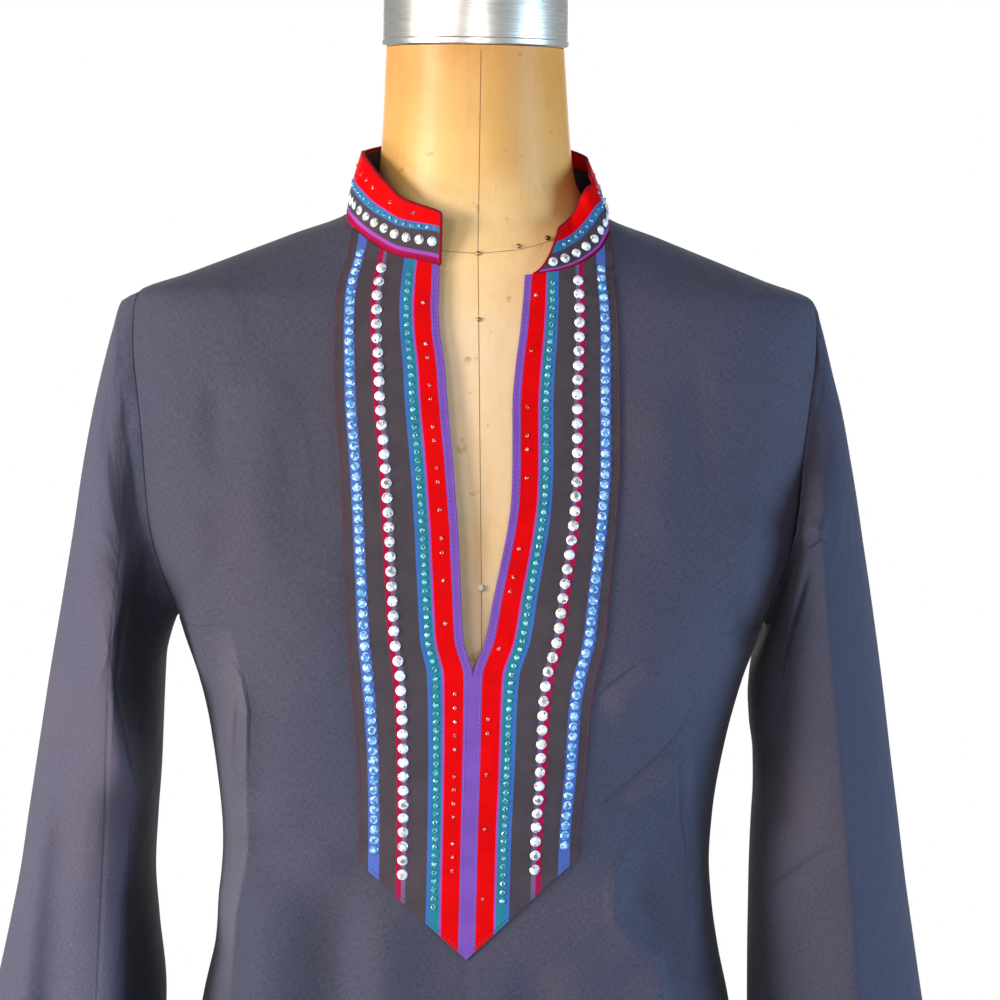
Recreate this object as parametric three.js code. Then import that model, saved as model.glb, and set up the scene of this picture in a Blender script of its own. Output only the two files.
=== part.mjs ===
// A long-sleeved tunic with a stand collar and a striped slit placket, on a limbless dress form.
// Millimetres, +Z up, the front faces -Y and the wearer's right side is at -X.
// The origin is on the floor, at the middle of the form's base.
import * as THREE from "three";

// ---- Driving sizes ---------------------------------------------------------------------------
// A "drop" is a distance below the neck point, where the shoulder seam meets the collar.
const NECK_POINT_Z = 1400;
const CLOTH_WALL = 1.2;
const PLACKET_WALL = 1.0;
const COLLAR_WALL = 1.6;
const SEAM_GAP = 0.3;
const SHOULDER_TIP_DROP = 47.5;
const ARMPIT_DROP = 236;
const SLIT_DROP = 257;
const PLACKET_CORNER_DROP = { left: 366, right: 361 };
const PLACKET_POINT_DROP = 419.5;
const FORM_TOP_DROP = -97;
const FORM_BOTTOM_DROP = 740;
const CAP_RADIUS = 55;
const CAP_HEIGHT = 38;
const POLE_RADIUS = 16;
const BASE_RADIUS = 215;

// Smooth tables: a row for each section, the first column is where it stands. Between rows a
// monotone cubic runs through the numbers, so nothing overshoots.
function table(columns, rows) {
  const at = rows.map((row) => row[0]);
  const curves = {};
  columns.forEach((name, column) => {
    curves[name] = rows.map((row) => row[column]);
  });
  return (name, where) => monotoneCubic(at, curves[name], where);
}

function monotoneCubic(at, value, where) {
  const last = at.length - 1;
  if (where <= at[0]) return value[0];
  if (where >= at[last]) return value[last];
  let i = 0;
  while (where > at[i + 1]) i += 1;
  const span = at[i + 1] - at[i];
  const slope = (k) => (value[k + 1] - value[k]) / (at[k + 1] - at[k]);
  const tangent = (k) => {
    if (k === 0) return slope(0);
    if (k === last) return slope(last - 1);
    const before = slope(k - 1);
    const after = slope(k);
    return before * after <= 0 ? 0 : (2 * before * after) / (before + after);
  };
  const t = (where - at[i]) / span;
  const rise = t * t * (3 - 2 * t);
  return (
    value[i] * (1 - rise) +
    value[i + 1] * rise +
    span * t * (1 - t) * ((1 - t) * tangent(i) - t * tangent(i + 1))
  );
}

// ---- The body of the tunic: half rings, front and back ------------------------------------------
const BODY = table(
  ["drop", "halfWidth", "front", "back", "frontPower", "backPower"],
  [
    [-12, 66, 56, 58, 2, 2],
    [0, 76, 60, 62, 2, 2],
    [12, 106.7, 63.5, 69, 2, 2],
    [24, 137.4, 68, 76, 2, 2.1],
    [36, 168.2, 71.5, 82, 2.1, 2.2],
    [47.5, 197.6, 75, 87, 2.2, 2.3],
    [60, 201.5, 78.5, 91, 2.3, 2.3],
    [80, 203.5, 84.5, 97, 2.3, 2.3],
    [120, 205, 95.5, 104, 2.3, 2.3],
    [155, 203, 105.5, 107, 2.35, 2.3],
    [175, 200, 111, 108, 2.4, 2.3],
    [203, 189.5, 118, 107, 2.5, 2.3],
    [216, 182, 121, 106, 2.55, 2.3],
    [228, 175, 123, 106, 2.6, 2.3],
    [236, 171.5, 124, 105, 2.6, 2.3],
    [248, 167, 125, 104, 2.6, 2.3],
    [268, 159.5, 125, 102, 2.55, 2.25],
    [305, 150.5, 120.5, 97, 2.4, 2.2],
    [350, 144, 112, 92, 2.25, 2.2],
    [376, 142.5, 109, 90, 2.2, 2.2],
    [400, 144.3, 109.5, 92, 2.2, 2.2],
    [430, 149, 112, 98, 2.2, 2.2],
    [462, 156, 116, 106, 2.2, 2.2],
    [540, 168, 125, 125, 2.2, 2.25],
    [640, 178, 131, 133, 2.2, 2.25],
    [700, 182, 133, 134, 2.2, 2.2],
  ],
);

// Where the armhole seam cuts the rings.
const ARMHOLE = table(
  ["drop", "x"],
  [
    [47.5, 197.6],
    [60, 199.2],
    [80, 198.5],
    [105, 195],
    [135, 191],
    [165, 188],
    [190, 184],
    [210, 177.5],
    [226, 172.5],
    [236, 171.5],
  ],
);

// The neckline of the front, on each side, and of the back.
const NECKLINE = table(
  ["drop", "left", "right"],
  [
    [0, 76, 76],
    [4, 74.3, 77],
    [9, 69.8, 76.6],
    [14, 63.5, 74.5],
    [19, 55.5, 71.4],
    [24, 45, 65],
    [29, 20.2, 55],
    [32, 20.2, 43],
    [33.5, 20.2, 28.4],
  ],
);
const NECK_END_DROP = { left: 29, right: 33.5 };
const BACK_NECKLINE = table(
  ["drop", "x"],
  [
    [-10, 12],
    [-9, 32],
    [-6.5, 50],
    [-3, 66],
    [0, 76],
  ],
);

// The placket: its outer edges and the edges of the slit, from the middle of the front.
const PLACKET = table(
  ["drop", "leftEdge", "leftSlit", "rightSlit", "rightEdge"],
  [
    [4, -75.5, -20.2, 28.6, 80.5],
    [10, -74.5, -20.2, 28.6, 80],
    [29, -78, -20.2, 28.6, 80],
    [50, -79, -20.4, 27.3, 81.5],
    [65, -79, -19.4, 26, 82],
    [84, -78.6, -16.4, 23.8, 82.6],
    [105, -77.8, -14.4, 22.3, 83],
    [140, -74.4, -10.5, 22.7, 83.3],
    [158, -73, -8.8, 22.4, 82.3],
    [175, -71.8, -7.2, 20.4, 81.2],
    [192, -70.6, -6.2, 17.3, 79.5],
    [213, -68.8, -4.9, 13.1, 77.2],
    [236, -67, -3.4, 8.9, 75],
    [257, -65, 2.3, 2.3, 70],
    [275, -63, 2.2, 2.2, 67.3],
    [313, -61, 1.8, 1.8, 65.8],
    [350, -60.7, 1.3, 1.3, 63.4],
    [420, -61.5, 0.6, 0.6, 62.5],
  ],
);

// The largest soft folds of the body: a line from one end to the other, how far it reaches to
// each side, and how high it stands (a ridge) or sinks (a trough, below 0).
const FOLD_COLUMNS = ["x1", "drop1", "x2", "drop2", "reach", "height"];
const FRONT_FOLDS = [
  [-92, 250, -88, 262, 50, 6],
  [92, 250, 88, 262, 50, 6],
  [-136, 292, -134, 380, 12, -4],
  [-125, 300, -120, 420, 14, 4],
  [112, 310, 76, 352, 9, -3],
  [128, 330, 132, 440, 15, -4],
  [-85, 400, -78, 700, 18, -5],
  [-112, 430, -122, 700, 16, 5],
  [78, 372, 88, 700, 15, 5],
  [44, 430, 34, 700, 17, -4],
  [122, 440, 132, 700, 18, 4],
  [-30, 440, -34, 700, 16, 4],
].map(named(FOLD_COLUMNS));
const BACK_FOLDS = [
  [-84, 330, -60, 380, 16, -4],
  [90, 320, 66, 384, 14, -4],
  [-40, 400, -58, 700, 18, -5],
  [24, 420, 30, 700, 16, 5],
  [96, 400, 108, 700, 20, -5],
  [-104, 430, -120, 700, 17, 5],
].map(named(FOLD_COLUMNS));

function named(columns) {
  return (row) => Object.fromEntries(columns.map((name, i) => [name, row[i]]));
}

// How high the folds of a panel stand at a point: each is a bell across its line. A long one
// fades in over its first fifth and runs out through the hem.
const SHORT_FOLD = 60;
const FADE_IN_SHARE = 0.2;

function foldHeight(folds, x, drop) {
  return folds.reduce((sum, fold) => {
    const run = [fold.x2 - fold.x1, fold.drop2 - fold.drop1];
    const length = Math.hypot(...run);
    const t = ((x - fold.x1) * run[0] + (drop - fold.drop1) * run[1]) / length ** 2;
    const near = THREE.MathUtils.clamp(t, 0, 1);
    const away = Math.hypot(x - fold.x1 - near * run[0], drop - fold.drop1 - near * run[1]);
    const fade = length > SHORT_FOLD ? smoothstep(t / FADE_IN_SHARE) : 1;
    return sum + fold.height * fade * Math.exp(-((away / fold.reach) ** 2));
  }, 0);
}

function smoothstep(t) {
  const u = THREE.MathUtils.clamp(t, 0, 1);
  return u * u * (3 - 2 * u);
}

// ---- Points of the rings ---------------------------------------------------------------------
// A quarter ring is a superellipse. It is measured along its arc from the middle of the panel.
const ARC_STEPS = 48;

function quarterRing(panel, drop) {
  const width = BODY("halfWidth", drop);
  const depth = BODY(panel, drop);
  const power = BODY(panel + "Power", drop);
  const ring = [{ x: 0, y: depth, arc: 0 }];
  for (let i = 1; i <= ARC_STEPS; i += 1) {
    const angle = (i / ARC_STEPS) * (Math.PI / 2);
    const x = width * Math.sin(angle) ** (2 / power);
    const y = i === ARC_STEPS ? 0 : depth * Math.cos(angle) ** (2 / power);
    const before = ring[i - 1];
    ring.push({ x, y, arc: before.arc + Math.hypot(x - before.x, y - before.y) });
  }
  return ring;
}

function along(ring, key, value) {
  const target = Math.min(Math.abs(value), ring[ARC_STEPS][key]);
  let i = 1;
  while (i < ARC_STEPS && ring[i][key] < target) i += 1;
  const low = ring[i - 1];
  const high = ring[i];
  const t = (target - low[key]) / (high[key] - low[key]);
  return {
    x: low.x + t * (high.x - low.x),
    y: low.y + t * (high.y - low.y),
    arc: low.arc + t * (high.arc - low.arc),
  };
}

const arcAtX = (panel, drop, x) =>
  Math.sign(x) * along(quarterRing(panel, drop), "x", x).arc;

// The smooth cloth, without folds, at an arc from the middle (below 0 on the left).
function ringPoint(panel, drop, arc) {
  const at = along(quarterRing(panel, drop), "arc", arc);
  const out = panel === "front" ? -1 : 1;
  return new THREE.Vector3(Math.sign(arc) * at.x, out * at.y, NECK_POINT_Z - drop);
}

// At the side seam the front runs on into the back, so there the cloth lies square to X.
const NORMAL_ARC_STEP = 0.002;
const NORMAL_DROP_STEP = 0.5;
const SIDE_SEAM_SHARE = 0.9995;

function ringNormal(panel, drop, arc) {
  const length = quarterRing(panel, drop)[ARC_STEPS].arc;
  const step = NORMAL_ARC_STEP * length;
  const inside = Math.sign(arc || 1) * Math.min(Math.abs(arc), length);
  const share = inside / length;
  const atSeam = Math.abs(share) > SIDE_SEAM_SHARE;
  const across = atSeam
    ? new THREE.Vector3(0, (panel === "front" ? 1 : -1) * Math.sign(arc), 0)
    : ringPoint(panel, drop, inside + step).sub(ringPoint(panel, drop, inside - step));
  const shareAt = (d) => share * quarterRing(panel, d)[ARC_STEPS].arc;
  const above = drop - NORMAL_DROP_STEP;
  const below = drop + NORMAL_DROP_STEP;
  const down = ringPoint(panel, below, shareAt(below)).sub(
    ringPoint(panel, above, shareAt(above)),
  );
  const normal = across.cross(down).normalize();
  return panel === "front" ? normal.negate() : normal;
}

// A point of a panel, with its normal and its folds. The folds fade out towards the seams.
const FOLD_FADE_ARC = 34;

function panelPoint(panel, drop, arc, edgeArc) {
  const normal = ringNormal(panel, drop, arc);
  const point = ringPoint(panel, drop, arc);
  const folds = panel === "front" ? FRONT_FOLDS : BACK_FOLDS;
  const fade = smoothstep((Math.abs(edgeArc) - Math.abs(arc)) / FOLD_FADE_ARC);
  point.addScaledVector(normal, fade * foldHeight(folds, point.x, drop));
  return { point, normal };
}

// ---- Cloth walls from grids ------------------------------------------------------------------
// Points and outward normals on the outer face, and faces that turn anticlockwise seen from
// outside, become one closed wall: the same faces moved in, and a strip round every free edge.
class Cloth {
  constructor() {
    this.points = [];
    this.normals = [];
    this.faces = [];
  }

  add(point, normal) {
    this.points.push(point);
    this.normals.push(normal);
    return this.points.length - 1;
  }

  // A grid of point numbers, rows downwards and columns towards +X as seen from outside.
  grid(rows) {
    for (let r = 1; r < rows.length; r += 1) {
      for (let c = 1; c < rows[r].length; c += 1) {
        const corners = [rows[r - 1][c - 1], rows[r][c - 1], rows[r][c], rows[r - 1][c]];
        this.quad(corners);
      }
    }
  }

  quad([a, b, c, d]) {
    this.faces.push([a, b, c], [a, c, d]);
  }

  wall(thickness, lift = 0) {
    const count = this.points.length;
    const outer = this.points.map((p, i) => p.clone().addScaledVector(this.normals[i], lift));
    const inner = outer.map((p, i) => p.clone().addScaledVector(this.normals[i], -thickness));
    const triangles = [];
    const edges = new Set();
    for (const [a, b, c] of this.faces) {
      triangles.push(a, b, c, count + a, count + c, count + b);
      edges.add(a + " " + b).add(b + " " + c).add(c + " " + a);
    }
    for (const edge of edges) {
      const [a, b] = edge.split(" ").map(Number);
      if (!edges.has(b + " " + a)) triangles.push(b, a, count + a, b, count + a, count + b);
    }
    const geometry = new THREE.BufferGeometry();
    geometry.setFromPoints([...outer, ...inner]);
    geometry.setIndex(triangles);
    return geometry;
  }
}

// ---- Materials -------------------------------------------------------------------------------
const charcoalCotton = new THREE.MeshStandardMaterial({ color: 0x4a4c5e, roughness: 0.85 });
const stripedRibbon = new THREE.MeshStandardMaterial({ color: 0x9c2440, roughness: 0.6 });
const shellackedCanvas = new THREE.MeshStandardMaterial({ color: 0xe2b070, roughness: 0.5 });
const aluminium = new THREE.MeshStandardMaterial({
  color: 0xc9c6bc,
  roughness: 0.35,
  metalness: 1,
});
const castIron = new THREE.MeshStandardMaterial({ color: 0x2c2c2e, roughness: 0.6 });

const object = new THREE.Group();

function addMesh(name, geometry, material) {
  const mesh = new THREE.Mesh(geometry, material);
  mesh.name = name;
  object.add(mesh);
  return mesh;
}

// ---- Front and placket: one grid, so the placket lies on the front's own points ------------------
const ARMHOLE_DROPS = [SHOULDER_TIP_DROP, 60, 80, 105, 135, 165, 190, 210, 226, ARMPIT_DROP];
const NECK_DROPS = [0.2, 4, 9, 14, 19, 24, 29, 33.5, 40];
const PLACKET_END_ROW = 360;
const LOWER_DROPS = [SLIT_DROP, 280, 305, 332, PLACKET_END_ROW, 385, 415, 450, 490, 535];
const HEM_DROPS = [580, 630, 700];
const FRONT_DROPS = [...NECK_DROPS, ...ARMHOLE_DROPS, ...LOWER_DROPS, ...HEM_DROPS];
const PLACKET_COLUMNS = 3;
const FRONT_COLUMNS = 10;
const PLACKET_TOP_DROP = 9;
const SHEAR_DROPS = [305, 535];
const SHEAR_COLUMNS = 7;
const LEAST_PLACKET_WIDTH = 2;
const TOP_ROW_SHARE = 0.2;
const sides = [
  { name: "left", sign: -1 },
  { name: "right", sign: 1 },
];

// Below the slit the rows bend down towards the middle, so that one row is the placket's point.
function rowDrop(side, drop, column) {
  const [start, end] = SHEAR_DROPS;
  if (drop <= start || drop >= end) return drop;
  const share =
    drop <= PLACKET_END_ROW
      ? (drop - start) / (PLACKET_END_ROW - start)
      : (end - drop) / (end - PLACKET_END_ROW);
  const corner = PLACKET_CORNER_DROP[side.name];
  const inside = Math.max(0, 1 - column / PLACKET_COLUMNS);
  const outside = THREE.MathUtils.clamp(
    (SHEAR_COLUMNS - column) / (SHEAR_COLUMNS - PLACKET_COLUMNS),
    0,
    1,
  );
  const shear = inside * (PLACKET_POINT_DROP - corner) + outside * (corner - PLACKET_END_ROW);
  return drop + share * shear;
}

function frontArcs(side, drop) {
  const { name, sign } = side;
  const opening =
    drop < NECK_END_DROP[name] ? NECKLINE(name, drop) : sign * PLACKET(name + "Slit", drop);
  const atPlacket = Math.max(
    sign * PLACKET(name + "Edge", drop),
    opening + LEAST_PLACKET_WIDTH,
  );
  const atArmhole = drop > SHOULDER_TIP_DROP && drop < ARMPIT_DROP;
  const ringEnd = quarterRing("front", drop)[ARC_STEPS].arc;
  const topRow = drop < NECK_DROPS[1];
  const start = arcAtX("front", drop, opening);
  const end = atArmhole ? arcAtX("front", drop, ARMHOLE("x", drop)) : ringEnd;
  const middle = topRow
    ? start + TOP_ROW_SHARE * (end - start)
    : arcAtX("front", drop, atPlacket);
  return { start, middle, end };
}

function frontVertex(side, drop, column) {
  const at = rowDrop(side, drop, column);
  const { start, middle, end } = frontArcs(side, at);
  const beyond = (column - PLACKET_COLUMNS) / (FRONT_COLUMNS - PLACKET_COLUMNS);
  const arc =
    column <= PLACKET_COLUMNS
      ? start + ((middle - start) * column) / PLACKET_COLUMNS
      : middle + (end - middle) * beyond;
  const vertex = panelPoint("front", at, side.sign * arc, end);
  const seam = column === FRONT_COLUMNS && (at <= SHOULDER_TIP_DROP || at >= ARMPIT_DROP);
  if (seam) vertex.point.y -= SEAM_GAP / 2;
  return vertex;
}

function frontGrid(cloth, drops, columns) {
  const rows = drops.map((drop) => {
    const halves = sides.map((side) =>
      Array.from({ length: columns + 1 }, (_, column) => {
        const shared = side.sign > 0 && column === 0 && drop >= SLIT_DROP;
        if (shared) return null;
        const { point, normal } = frontVertex(side, drop, column);
        return cloth.add(point, normal);
      }),
    );
    if (drop >= SLIT_DROP) halves[1][0] = halves[0][0];
    return { left: halves[0].slice().reverse(), right: halves[1], drop };
  });
  cloth.grid(rows.map((row) => row.left));
  cloth.grid(rows.map((row) => row.right));
  return rows;
}

const frontCloth = new Cloth();
const frontRows = frontGrid(frontCloth, FRONT_DROPS, FRONT_COLUMNS);
addMesh("front", frontCloth.wall(CLOTH_WALL), charcoalCotton);

const placketCloth = new Cloth();
const placketDrops = FRONT_DROPS.filter(
  (drop) => drop >= PLACKET_TOP_DROP && drop <= PLACKET_END_ROW,
);
frontGrid(placketCloth, placketDrops, PLACKET_COLUMNS);
addMesh(
  "placket",
  placketCloth.wall(PLACKET_WALL, SEAM_GAP + PLACKET_WALL),
  stripedRibbon,
);

// ---- Back ------------------------------------------------------------------------------------
// The back is plainer, so it does without some of the front's rows.
const BACK_NECK_DROPS = [-10, -9, -6.5, -3];
const FRONT_ONLY_DROPS = [9, 19, 33.5, 280, 385];
const BACK_DROPS = [
  ...BACK_NECK_DROPS,
  ...FRONT_DROPS.filter((drop) => !FRONT_ONLY_DROPS.includes(drop)),
];
const BACK_COLUMNS = 16;
const BACK_CROWDING = 1.35;

function backEnd(drop) {
  if (drop < 0) return arcAtX("back", drop, BACK_NECKLINE("x", drop));
  if (drop > SHOULDER_TIP_DROP && drop < ARMPIT_DROP)
    return arcAtX("back", drop, ARMHOLE("x", drop));
  return quarterRing("back", drop)[ARC_STEPS].arc;
}

const backCloth = new Cloth();
const backRows = BACK_DROPS.map((drop) => {
  const end = backEnd(drop);
  const row = Array.from({ length: BACK_COLUMNS + 1 }, (_, column) => {
    const even = (2 * column) / BACK_COLUMNS - 1;
    const crowded = 1 - (1 - Math.abs(even)) ** BACK_CROWDING;
    const share = Math.sign(even) * crowded;
    const { point, normal } = panelPoint("back", drop, -share * end, end);
    const armhole = drop > SHOULDER_TIP_DROP && drop < ARMPIT_DROP;
    if (Math.abs(share) === 1 && drop > 0 && !armhole) point.y += SEAM_GAP / 2;
    return backCloth.add(point, normal);
  });
  return { drop, row };
});
backCloth.grid(backRows.map(({ row }) => row));
addMesh("back", backCloth.wall(CLOTH_WALL), charcoalCotton);

// ---- Edges that the sleeves and the collar are sewn to -----------------------------------------
// Each is a list of panel points with their normals, so both sides of a seam have the same points.
function frontEdge(name, drops, inner) {
  const half = frontRows.filter((row) => drops.includes(row.drop));
  return half.map((row) => {
    const column = name === "left" ? row.left.slice().reverse() : row.right;
    const index = inner ? column[0] : column[FRONT_COLUMNS];
    return { point: frontCloth.points[index], normal: frontCloth.normals[index], drop: row.drop };
  });
}

function backEdge(name, drops) {
  return backRows
    .filter((row) => drops.includes(row.drop))
    .map(({ row, drop }) => {
      const index = name === "left" ? row[BACK_COLUMNS] : row[0];
      return { point: backCloth.points[index], normal: backCloth.normals[index], drop };
    });
}

// The way from a seam edge out of its panel: along the cloth, square to the edge.
function outOfPanel(edge, index, closed, towards) {
  const count = edge.length;
  const next = closed ? (index + 1) % count : Math.min(index + 1, count - 1);
  const before = closed ? (index + count - 1) % count : Math.max(index - 1, 0);
  const line = edge[next].point.clone().sub(edge[before].point);
  const way = line.cross(edge[index].normal).normalize();
  return way.dot(towards.clone().sub(edge[index].point)) < 0 ? way.negate() : way;
}

// ---- Sleeves -----------------------------------------------------------------------------------
// Rings from the armhole to the cuff. Each leans from its outer point (over the shoulder) to its
// inner point (under the arm), and reaches to the front and the back.
const SLEEVE_COLUMNS = ["outerX", "outerDrop", "innerX", "innerDrop", "front", "back"];
const SEAM_RING = [197.6, SHOULDER_TIP_DROP, 171.5, ARMPIT_DROP, 46, 46];
const SEAM_SHAPE_RINGS = 6;
const SEAM_STEP = 2.5;
const SLEEVE_RINGS = {
  left: [
    [205.5, 53, 172.2, 239, 50, 54],
    [210.5, 68, 174, 243, 54, 58],
    [216, 88, 176, 248, 58, 62],
    [222, 113, 178, 254, 62, 66],
    [228.5, 147, 180, 262, 66, 70],
    [234.5, 186, 181, 273, 69, 73],
    [241, 228, 181.5, 286, 71, 75],
    [248, 271, 182, 303, 72, 76],
    [254.5, 315, 182.8, 328, 73, 77],
    [259.5, 350, 184.6, 356, 73, 77],
    [264.5, 386, 186, 388, 73, 77],
    [271, 420, 183.5, 420, 72, 76],
    [280.5, 465, 179, 465, 71, 75],
    [292, 520, 181, 520, 70, 74],
    [304, 580, 186, 580, 69, 73],
    [316, 640, 192, 640, 68, 72],
  ],
  right: [
    [198.5, 53, 172, 239, 50, 54],
    [203, 68, 172, 244, 54, 58],
    [208.5, 88, 170, 250, 58, 62],
    [215.5, 113, 167.5, 258, 62, 66],
    [222.5, 147, 165, 268, 66, 70],
    [229.5, 186, 164.5, 280, 69, 73],
    [236.5, 228, 165.5, 296, 71, 75],
    [243, 271, 168, 315, 72, 76],
    [249, 315, 168.5, 335, 73, 77],
    [254, 350, 167.6, 358, 73, 77],
    [259, 386, 167, 390, 73, 77],
    [264.5, 420, 167, 420, 72, 76],
    [272, 465, 167.5, 465, 71, 75],
    [282, 520, 172.5, 520, 70, 74],
    [294, 580, 180, 580, 69, 73],
    [305, 640, 188, 640, 68, 72],
  ],
};

// The sleeve's long creases, by their angle round it (0 outside, 90 in front, 180 inside).
const SLEEVE_FOLD_COLUMNS = ["angle1", "drop1", "angle2", "drop2", "reach", "height"];
const SLEEVE_FOLDS = {
  left: [
    [96, 300, 92, 640, 16, 5],
    [62, 330, 52, 640, 15, -6],
    [150, 270, 140, 480, 18, -6],
    [262, 320, 255, 640, 18, -6],
    [300, 300, 312, 640, 16, 4],
  ],
  right: [
    [78, 220, 70, 640, 15, 5],
    [118, 230, 112, 380, 15, -6],
    [150, 300, 142, 640, 18, 5],
    [108, 420, 104, 640, 14, -4],
    [256, 320, 262, 640, 18, -6],
    [310, 300, 300, 640, 16, 4],
  ],
};

function sleeveFold(name, degrees, drop) {
  return SLEEVE_FOLDS[name].map(named(SLEEVE_FOLD_COLUMNS)).reduce((sum, fold) => {
    const t = (drop - fold.drop1) / (fold.drop2 - fold.drop1);
    if (t <= 0) return sum;
    const line = fold.angle1 + Math.min(t, 1) * (fold.angle2 - fold.angle1);
    const fade = smoothstep(t / FADE_IN_SHARE);
    return sum + fold.height * fade * Math.exp(-(((degrees - line) / fold.reach) ** 2));
  }, 0);
}

// The angle of a seam point round the sleeve, from its drop.
function seamAngle(drop, atBack) {
  const share = (drop - SHOULDER_TIP_DROP) / (ARMPIT_DROP - SHOULDER_TIP_DROP);
  const angle = THREE.MathUtils.radToDeg(Math.acos(1 - 2 * share));
  return atBack ? 360 - angle : angle;
}

function sleeveRing(side, ring, angles) {
  const { name, sign } = side;
  const centre = new THREE.Vector3(
    (sign * (ring.outerX + ring.innerX)) / 2,
    0,
    NECK_POINT_Z - (ring.outerDrop + ring.innerDrop) / 2,
  );
  const outwards = new THREE.Vector3(
    (sign * (ring.outerX - ring.innerX)) / 2,
    0,
    (ring.innerDrop - ring.outerDrop) / 2,
  );
  return angles.map((degrees) => {
    const angle = THREE.MathUtils.degToRad(degrees);
    const reach = degrees <= 180 ? -ring.front : ring.back;
    const point = centre.clone().addScaledVector(outwards, Math.cos(angle));
    point.y = reach * Math.abs(Math.sin(angle));
    const height = sleeveFold(name, degrees, NECK_POINT_Z - point.z);
    const out = point.clone().sub(centre).normalize();
    return point.addScaledVector(out, height);
  });
}

// The seam isn't a true oval. The first rings keep its shape and lose it step by step, and they
// stand a little outside the body panels.
function keepSeamShape(side, rings, angles) {
  const seamRing = named(SLEEVE_COLUMNS)(SEAM_RING);
  const oval = sleeveRing(side, seamRing, angles);
  for (let r = 1; r < SEAM_SHAPE_RINGS; r += 1) {
    const share = 1 - r / SEAM_SHAPE_RINGS;
    rings[r].forEach((point, i) => {
      point.addScaledVector(rings[0][i].clone().sub(oval[i]), share);
      point.x += side.sign * share * SEAM_STEP;
    });
  }
}

// The sleeve starts beside the panel's edge. Where it turns back over the panel, under the arm
// and down its front and back, it starts a little outside it too.
function sewOn(rings, seam) {
  const middle = centreOf(rings[0]);
  const normals = ringNormals(rings, 0);
  rings[0] = seam.map(({ point, normal }, i) => {
    const out = outOfPanel(seam, i, true, middle);
    const onwards = rings[1][i].clone().sub(point).normalize();
    const lean = Math.max(0, normals[i].dot(out));
    const turnedBack = THREE.MathUtils.clamp(1 - 2 * onwards.dot(out), 0, 1);
    return point
      .clone()
      .addScaledVector(out, SEAM_GAP + CLOTH_WALL * lean)
      .addScaledVector(normal, SEAM_GAP * turnedBack);
  });
}

function ringNormals(rings, r) {
  const ring = rings[r];
  const count = ring.length;
  const middle = centreOf(ring);
  const below = rings[Math.min(r + 1, rings.length - 1)];
  const above = rings[Math.max(r - 1, 0)];
  return ring.map((point, i) => {
    const around = ring[(i + 1) % count].clone().sub(ring[(i + count - 1) % count]);
    const normal = around.cross(below[i].clone().sub(above[i])).normalize();
    return normal.dot(point.clone().sub(middle)) < 0 ? normal.negate() : normal;
  });
}

function buildSleeve(side) {
  const { name, sign } = side;
  const front = frontEdge(name, ARMHOLE_DROPS, false);
  const back = backEdge(name, ARMHOLE_DROPS).slice(1, -1).reverse();
  const seam = [...front, ...back];
  seam[0] = { ...seam[0], point: seam[0].point.clone().setY(0) };
  const pit = ARMHOLE_DROPS.length - 1;
  seam[pit] = { ...seam[pit], point: seam[pit].point.clone().setY(0) };
  const angles = seam.map(({ drop }, i) => seamAngle(drop, i > pit));
  const rings = [seam.map(({ point }) => point.clone())];
  SLEEVE_RINGS[name]
    .map(named(SLEEVE_COLUMNS))
    .forEach((ring) => rings.push(sleeveRing(side, ring, angles)));
  keepSeamShape(side, rings, angles);
  sewOn(rings, seam);
  const cloth = new Cloth();
  const numbers = rings.map((ring, r) => {
    const normals = ringNormals(rings, r);
    return ring.map((point, i) => cloth.add(point, normals[i]));
  });
  const closed = numbers.map((ring) => [...ring, ring[0]]);
  cloth.grid(sign < 0 ? closed : closed.map((ring) => ring.slice().reverse()));
  addMesh("sleeve_" + name, cloth.wall(CLOTH_WALL), charcoalCotton);
}

function centreOf(points) {
  const sum = points.reduce((total, p) => total.add(p), new THREE.Vector3());
  return sum.divideScalar(points.length);
}

sides.forEach(buildSleeve);

// ---- Collar ------------------------------------------------------------------------------------
// A stand from the left front end round the back to the right. Its rows say how far its top has
// risen, leant outwards and slipped back along the seam, by the share of the way round.
const COLLAR = table(
  ["share", "rise", "lean", "slip"],
  [
    [0, 29.8, -0.5, 0],
    [0.05, 33, -2.5, 0],
    [0.09, 37, -6, 0],
    [0.14, 38, -8.5, 0],
    [0.2, 37, -8.5, 0],
    [0.26, 36, -8, 0],
    [0.35, 34.8, -4, 0],
    [0.5, 34, 0, 0],
    [0.62, 34, -6, 0],
    [0.68, 34.8, -10.5, 0],
    [0.72, 34.5, -11, 0],
    [0.75, 32.5, -11, 0],
    [0.78, 30.5, -11, 0],
    [0.81, 29, -11, 0],
    [0.84, 28.5, -9, 0.5],
    [0.87, 31, -12, 1],
    [0.9, 31.5, -16, 2.5],
    [0.94, 30, -16, 6.5],
    [0.97, 28.5, -13.5, 12],
    [1, 27, -9.5, 20],
  ],
);
const COLLAR_ROWS = 3;
// The collar leans most near its top, and rises and slips fastest from its seam.
const LEAN_POWER = 1.3;
const RISE_POWER = 0.9;
const SLIP_POWER = 0.4;
const TOP_TILT_SHARE = 0.83;

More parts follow.
